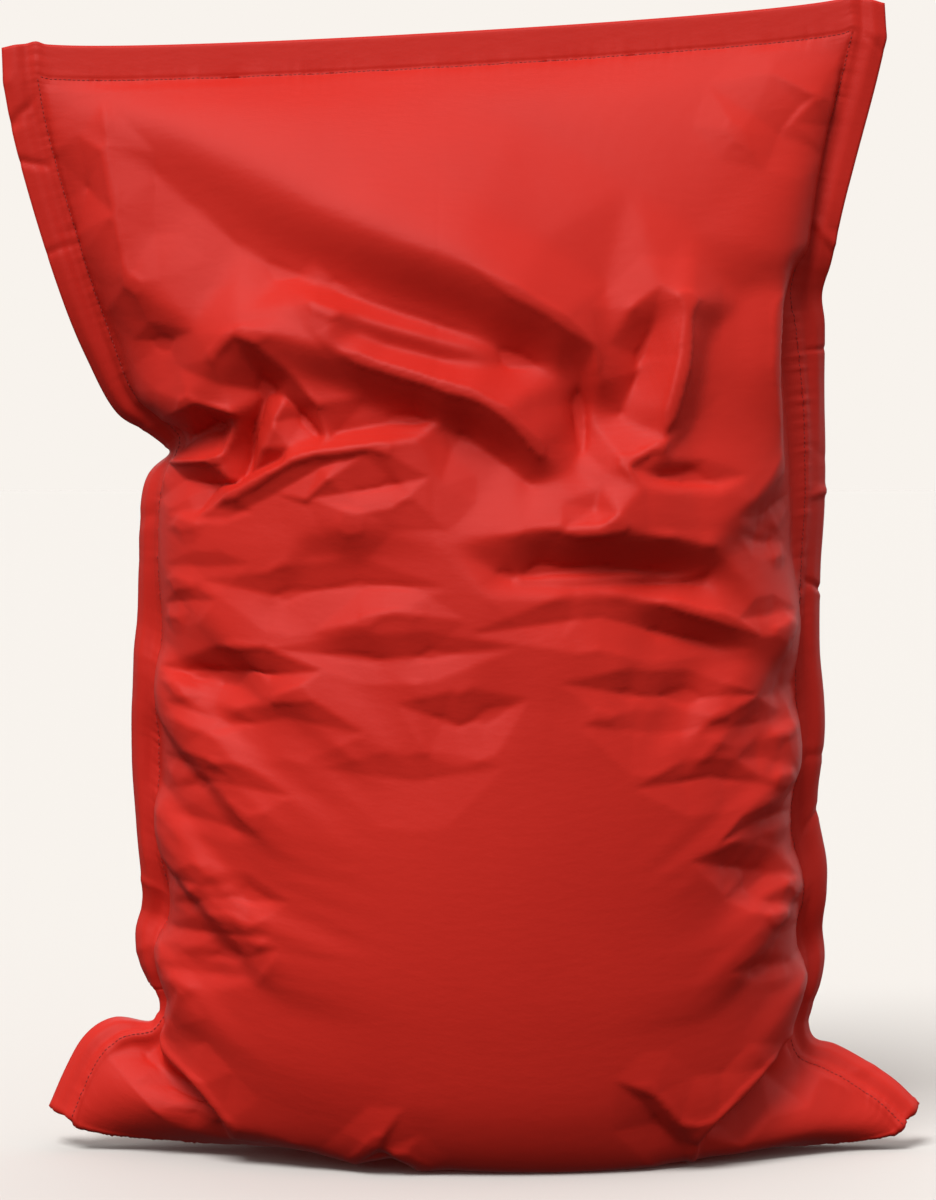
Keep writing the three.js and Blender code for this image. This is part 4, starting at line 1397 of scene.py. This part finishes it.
FLAP_PATH = [  # the flap's cloth in millimetres: out from the plane of the back, and height
    (0.9, 353), (0.9, 349), (0.9, 346), (1.6, 344), (2.9, 342), (4.1, 340), (4.8, 337.5), (5.0, 334),
    (5.0, 328), (4.9, 320), (4.9, 310), (4.9, 300), (4.9, 290), (5.0, 280), (5.0, 272), (5.0, 266),
    (5.0, 262),
]
FLAP_CELL = 4 * MM
FLAP_COLUMNS = 95
FLAP_HALF_THICKNESS = 0.6 * MM
FLAP_WAVE = 0.35 * MM
FLAP_WAVE_LENGTH = 13
FLAP_WAVES_BELOW = 330 * MM
# Each line of stitches on the flap: its height, how far out of the back's plane, and how far from its ends.
TOP_STITCHES = (351 * MM, 1.5 * MM, 3 * MM)
STRIP_STITCHES = [(265.5 * MM, 5.9 * MM, 8 * MM), (280.5 * MM, 5.9 * MM, 8 * MM)]


def level_line(half, z, out, end):
    """A level line of stitches facing the back, and the direction they face."""
    ends = [[-(half - end), PATCH_Y + out, z], [half - end, PATCH_Y + out, z]]
    return np.array(ends), np.tile([0.0, 1.0, 0.0], (2, 1))


def flap():
    """The flap and its sewn edge, as one cloth that bends at the fold."""
    rng = np.random.default_rng(11)
    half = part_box("zip_flap")[1].x
    x = np.linspace(-half, half, FLAP_COLUMNS)
    path = np.array(FLAP_PATH) * MM
    path[:, 0] += PATCH_Y
    wave = np.convolve(rng.normal(0, 1, FLAP_COLUMNS), np.hanning(FLAP_WAVE_LENGTH), "same") * FLAP_WAVE
    y, z = path[:, :1], path[:, 1:]
    middle = np.stack(np.broadcast_arrays(x, y + np.abs(wave) * (z < FLAP_WAVES_BELOW), z), -1)
    slope = np.gradient(path, axis=0)
    normal = unit(np.stack([0 * path[:, 0], -slope[:, 1], slope[:, 0]], -1))[:, None]
    half_thick = normal * FLAP_HALF_THICKNESS
    piece = shell("flap_cloth", middle + half_thick, middle - half_thick, False, FLAP_CELL)
    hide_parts("zip_flap", "flap_sewn_edge")
    piece.data.materials.append(cloth_look)
    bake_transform(piece)
    stitching("flap_top_stitching", "bag", [level_line(half, *TOP_STITCHES)])
    stitching("flap_stitching", "flap", [level_line(half, *line) for line in STRIP_STITCHES])


def closure():
    """Everything on the back that opens and closes, and the label beside it."""
    fuzz = pile("hook_and_loop", (0.38, 0.02, 0.016), 1500.0)
    zips()
    flap()
    strip("loop_strip_pile", "loop_strip", "bag", "hook_and_loop", fuzz)
    strip("hook_strip_pile", "hook_strip", "flap", "hook_and_loop", fuzz)
    label = plain_cloth("label_cloth", (0.86, 0.85, 0.82), 0.0007)
    strip("care_label_cloth", "care_label", "bag", "label_cloth", label)


closure()


# ---- the liner bag and the beads, inside the cover ----
def eased(face, rounds):
    """The face with its folds smoothed out."""
    smooth = face.copy()
    for _ in range(rounds):
        smooth[:, 1:-1, 1:-1] = (
            smooth[:, 1:-1, 1:-1] * 2
            + smooth[:, :-2, 1:-1] + smooth[:, 2:, 1:-1]
            + smooth[:, 1:-1, :-2] + smooth[:, 1:-1, 2:]
        ) / 6
    return smooth


def neighbourhood_max(values, reach=2):
    """The highest value within reach cells."""
    rows, columns = values.shape[1:]
    padded = np.pad(values, ((0, 0), (reach, reach), (reach, reach)), mode="edge")
    around = range(2 * reach + 1)
    return np.max([padded[:, i : i + rows, j : j + columns] for i in around for j in around], axis=0)


def edge_ring(shape):
    """True along the four edges of a grid."""
    ring = np.ones(shape, bool)
    ring[1:-1, 1:-1] = False
    return ring


LINER_INSET = 8 * MM
FILL_INSET = 14 * MM
LINER_CLOTH = 0.8 * MM
LINER_CELL = 20 * MM
LINER_MARGIN = 3  # cells between the cover's seams and the liner's
FILL_MARGIN = 6
LINER_SEAM_GAP = 0.15 * MM
EASING_ROUNDS = 14
LINER_FLAT = (165 * MM, 240 * MM, 345 * MM, 60 * MM)  # as the cover's
LINER_LEVEL = (150 * MM, 120 * MM)


def inner_faces(margin, inset):
    """Both faces of the cover with their folds eased, drawn in, from margin cells inside the seams."""
    every = round(LINER_CELL / cell)
    coarse = cover[:, ::every, ::every]
    smooth = eased(coarse, EASING_ROUNDS)
    normals = outward_normals(smooth)
    outside = np.einsum("...k,...k->...", smooth - coarse, normals)
    depth = inset + np.maximum(neighbourhood_max(outside), 0)
    keep = round(FLANGE / LINER_CELL) + margin
    drawn = (smooth - normals * depth[..., None])[:, keep:-keep, keep:-keep].copy()
    drawn[1] = lying_flat(drawn[1], PATCH_Y - inset, *LINER_FLAT)
    return drawn


def liner_pieces():
    """The liner's front, and the two halves of its back."""
    material = plain_cloth("liner_cloth", (0.82, 0.81, 0.78), 0.0012, 0.85)
    both = inner_faces(LINER_MARGIN, LINER_INSET)
    ring = edge_ring(both.shape[1:3])
    normals = outward_normals(both)
    apart = unit(both[0] - both[1])
    middle = both.mean(axis=0)
    layers = []
    for panel, sign in ((0, 1), (1, -1)):
        outer = both[panel].copy()
        inner = both[panel] - normals[panel] * LINER_CLOTH
        outer[ring] = (middle + apart * sign * (LINER_SEAM_GAP + LINER_CLOTH))[ring]
        inner[ring] = (middle + apart * sign * LINER_SEAM_GAP)[ring]
        layers.append([outer, inner])
    front = shell("liner_front_cloth", *layers[0], False, LINER_CELL)
    build(front, "bag", "liner_cloth", material, "liner_front")
    row = round(ZIP_SHARE * (CUT_LENGTH - 2 * FLANGE) / LINER_CELL) - LINER_MARGIN
    backs = [levelled(layer, row, *LINER_LEVEL) for layer in layers[1]]
    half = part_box("liner_zip_tape_upper")[1].x - TAPE_OVERRUN
    for name, up, share in (("lower", -1, row), ("upper", 1, both.shape[1] - 1 - row)):
        outer, inner = [opened(layer, row, half, up) for layer in backs]
        piece = shell(f"liner_back_{name}_cloth", outer, inner, True, LINER_CELL)
        build(piece, "bag", "liner_cloth", material, f"liner_back_{name}")


def bead_body():
    """The beads as one body, front and back joined in a shared edge."""
    both = inner_faces(FILL_MARGIN, FILL_INSET)
    ring = edge_ring(both.shape[1:3])
    both[:, ring] = both.mean(axis=0)[ring]
    rows, columns = both.shape[1:3]
    count = rows * columns
    index = np.arange(count).reshape(rows, columns)
    other = np.where(ring, index, index + count)
    front = grid_faces(rows, columns)
    lookup = np.concatenate([index.ravel(), other.ravel()])
    back = lookup[grid_faces(rows, columns, count)][:, ::-1]
    used = np.concatenate([np.ones(count, bool), ~ring.ravel()])
    renumber = np.cumsum(used) - 1
    piece = mesh_object(
        "bead_body", both.reshape(-1, 3)[used], renumber[np.concatenate([front, back])]
    )
    build(piece, "bag", "beads", bead_look(), "bead_fill")


liner_pieces()
bead_body()


# ---- stage ----
BACKDROP = (0.939, 0.896, 0.847)
FLOOR_COLOUR = (0.645, 0.618, 0.589)
SKY_COLOUR = (1.0, 0.985, 0.96)
SKY = 0.54
GROUND = 0.07
HORIZON_BLEND = 0.3
FLOOR_SIZE = 40
SUNS = [  # name, direction of the light, strength, and angle across in degrees
    ("key", (0.3, 0.62, -1.0), 3.0, 28),
    ("back", (-0.4, -0.8, -0.6), 0.8, 90),
]
FOCAL_LENGTH = 119.5
SENSOR_WIDTH = 36
EYE = (0, -4.5, 0.836)
LOOKING_DOWN = 2.65  # degrees


def stage():
    """A pale floor that takes shadows and isn't seen in the cloth."""
    corners = [(FLOOR_SIZE * x, FLOOR_SIZE * y, 0) for x, y in ((-1, -1), (1, -1), (1, 1), (-1, 1))]
    floor = mesh_object("floor", corners, [(0, 1, 2, 3)])
    look = Look("floor", FLOOR_COLOUR, 0.9, [("Specular IOR Level", 0.1)])
    floor.data.materials.append(look.material)
    floor.visible_diffuse = False
    floor.visible_glossy = False
    floor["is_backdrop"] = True


def sun(name, direction, strength, angle):
    light = bpy.data.lights.new(name, "SUN")
    light.energy = strength
    light.angle = math.radians(angle)
    lamp = bpy.data.objects.new(name, light)
    lamp.rotation_euler = Vector(direction).to_track_quat("-Z", "Y").to_euler()
    bpy.context.scene.collection.objects.link(lamp)


def lights():
    """A studio that is bright above and dim below, in front of an even backdrop."""
    world = bpy.data.worlds.new("studio")
    world.use_nodes = True
    tree = world.node_tree
    seen = tree.nodes["Background"]
    seen.inputs["Color"].default_value = (*BACKDROP, 1)
    light = tree.nodes.new("ShaderNodeBackground")
    light.inputs["Color"].default_value = (*SKY_COLOUR, 1)
    split = tree.nodes.new("ShaderNodeSeparateXYZ")
    tree.links.new(tree.nodes.new("ShaderNodeTexCoord").outputs["Generated"], split.inputs["Vector"])
    height = tree.nodes.new("ShaderNodeMapRange")
    blend = [("From Min", -HORIZON_BLEND), ("From Max", HORIZON_BLEND), ("To Min", GROUND), ("To Max", SKY)]
    for socket, value in blend:
        height.inputs[socket].default_value = value
    tree.links.new(split.outputs["Z"], height.inputs["Value"])
    tree.links.new(height.outputs["Result"], light.inputs["Strength"])
    mix = tree.nodes.new("ShaderNodeMixShader")
    tree.links.new(tree.nodes.new("ShaderNodeLightPath").outputs["Is Camera Ray"], mix.inputs["Fac"])
    tree.links.new(light.outputs["Background"], mix.inputs[1])
    tree.links.new(seen.outputs["Background"], mix.inputs[2])
    tree.links.new(mix.outputs["Shader"], tree.nodes["World Output"].inputs["Surface"])
    bpy.context.scene.world = world
    for name, direction, strength, angle in SUNS:
        sun(name, direction, strength, angle)


def camera():
    lens = bpy.data.cameras.new("camera")
    lens.lens = FOCAL_LENGTH
    lens.sensor_width = SENSOR_WIDTH
    eye = bpy.data.objects.new("camera", lens)
    eye.location = EYE
    eye.rotation_euler = (math.radians(90 - LOOKING_DOWN), 0, 0)
    bpy.context.scene.collection.objects.link(eye)
    bpy.context.scene.camera = eye
    bpy.context.scene.view_settings.view_transform = "Standard"


stage()
lights()
camera()

[[list(corner) for corner in box] for box in (cad_box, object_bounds())]
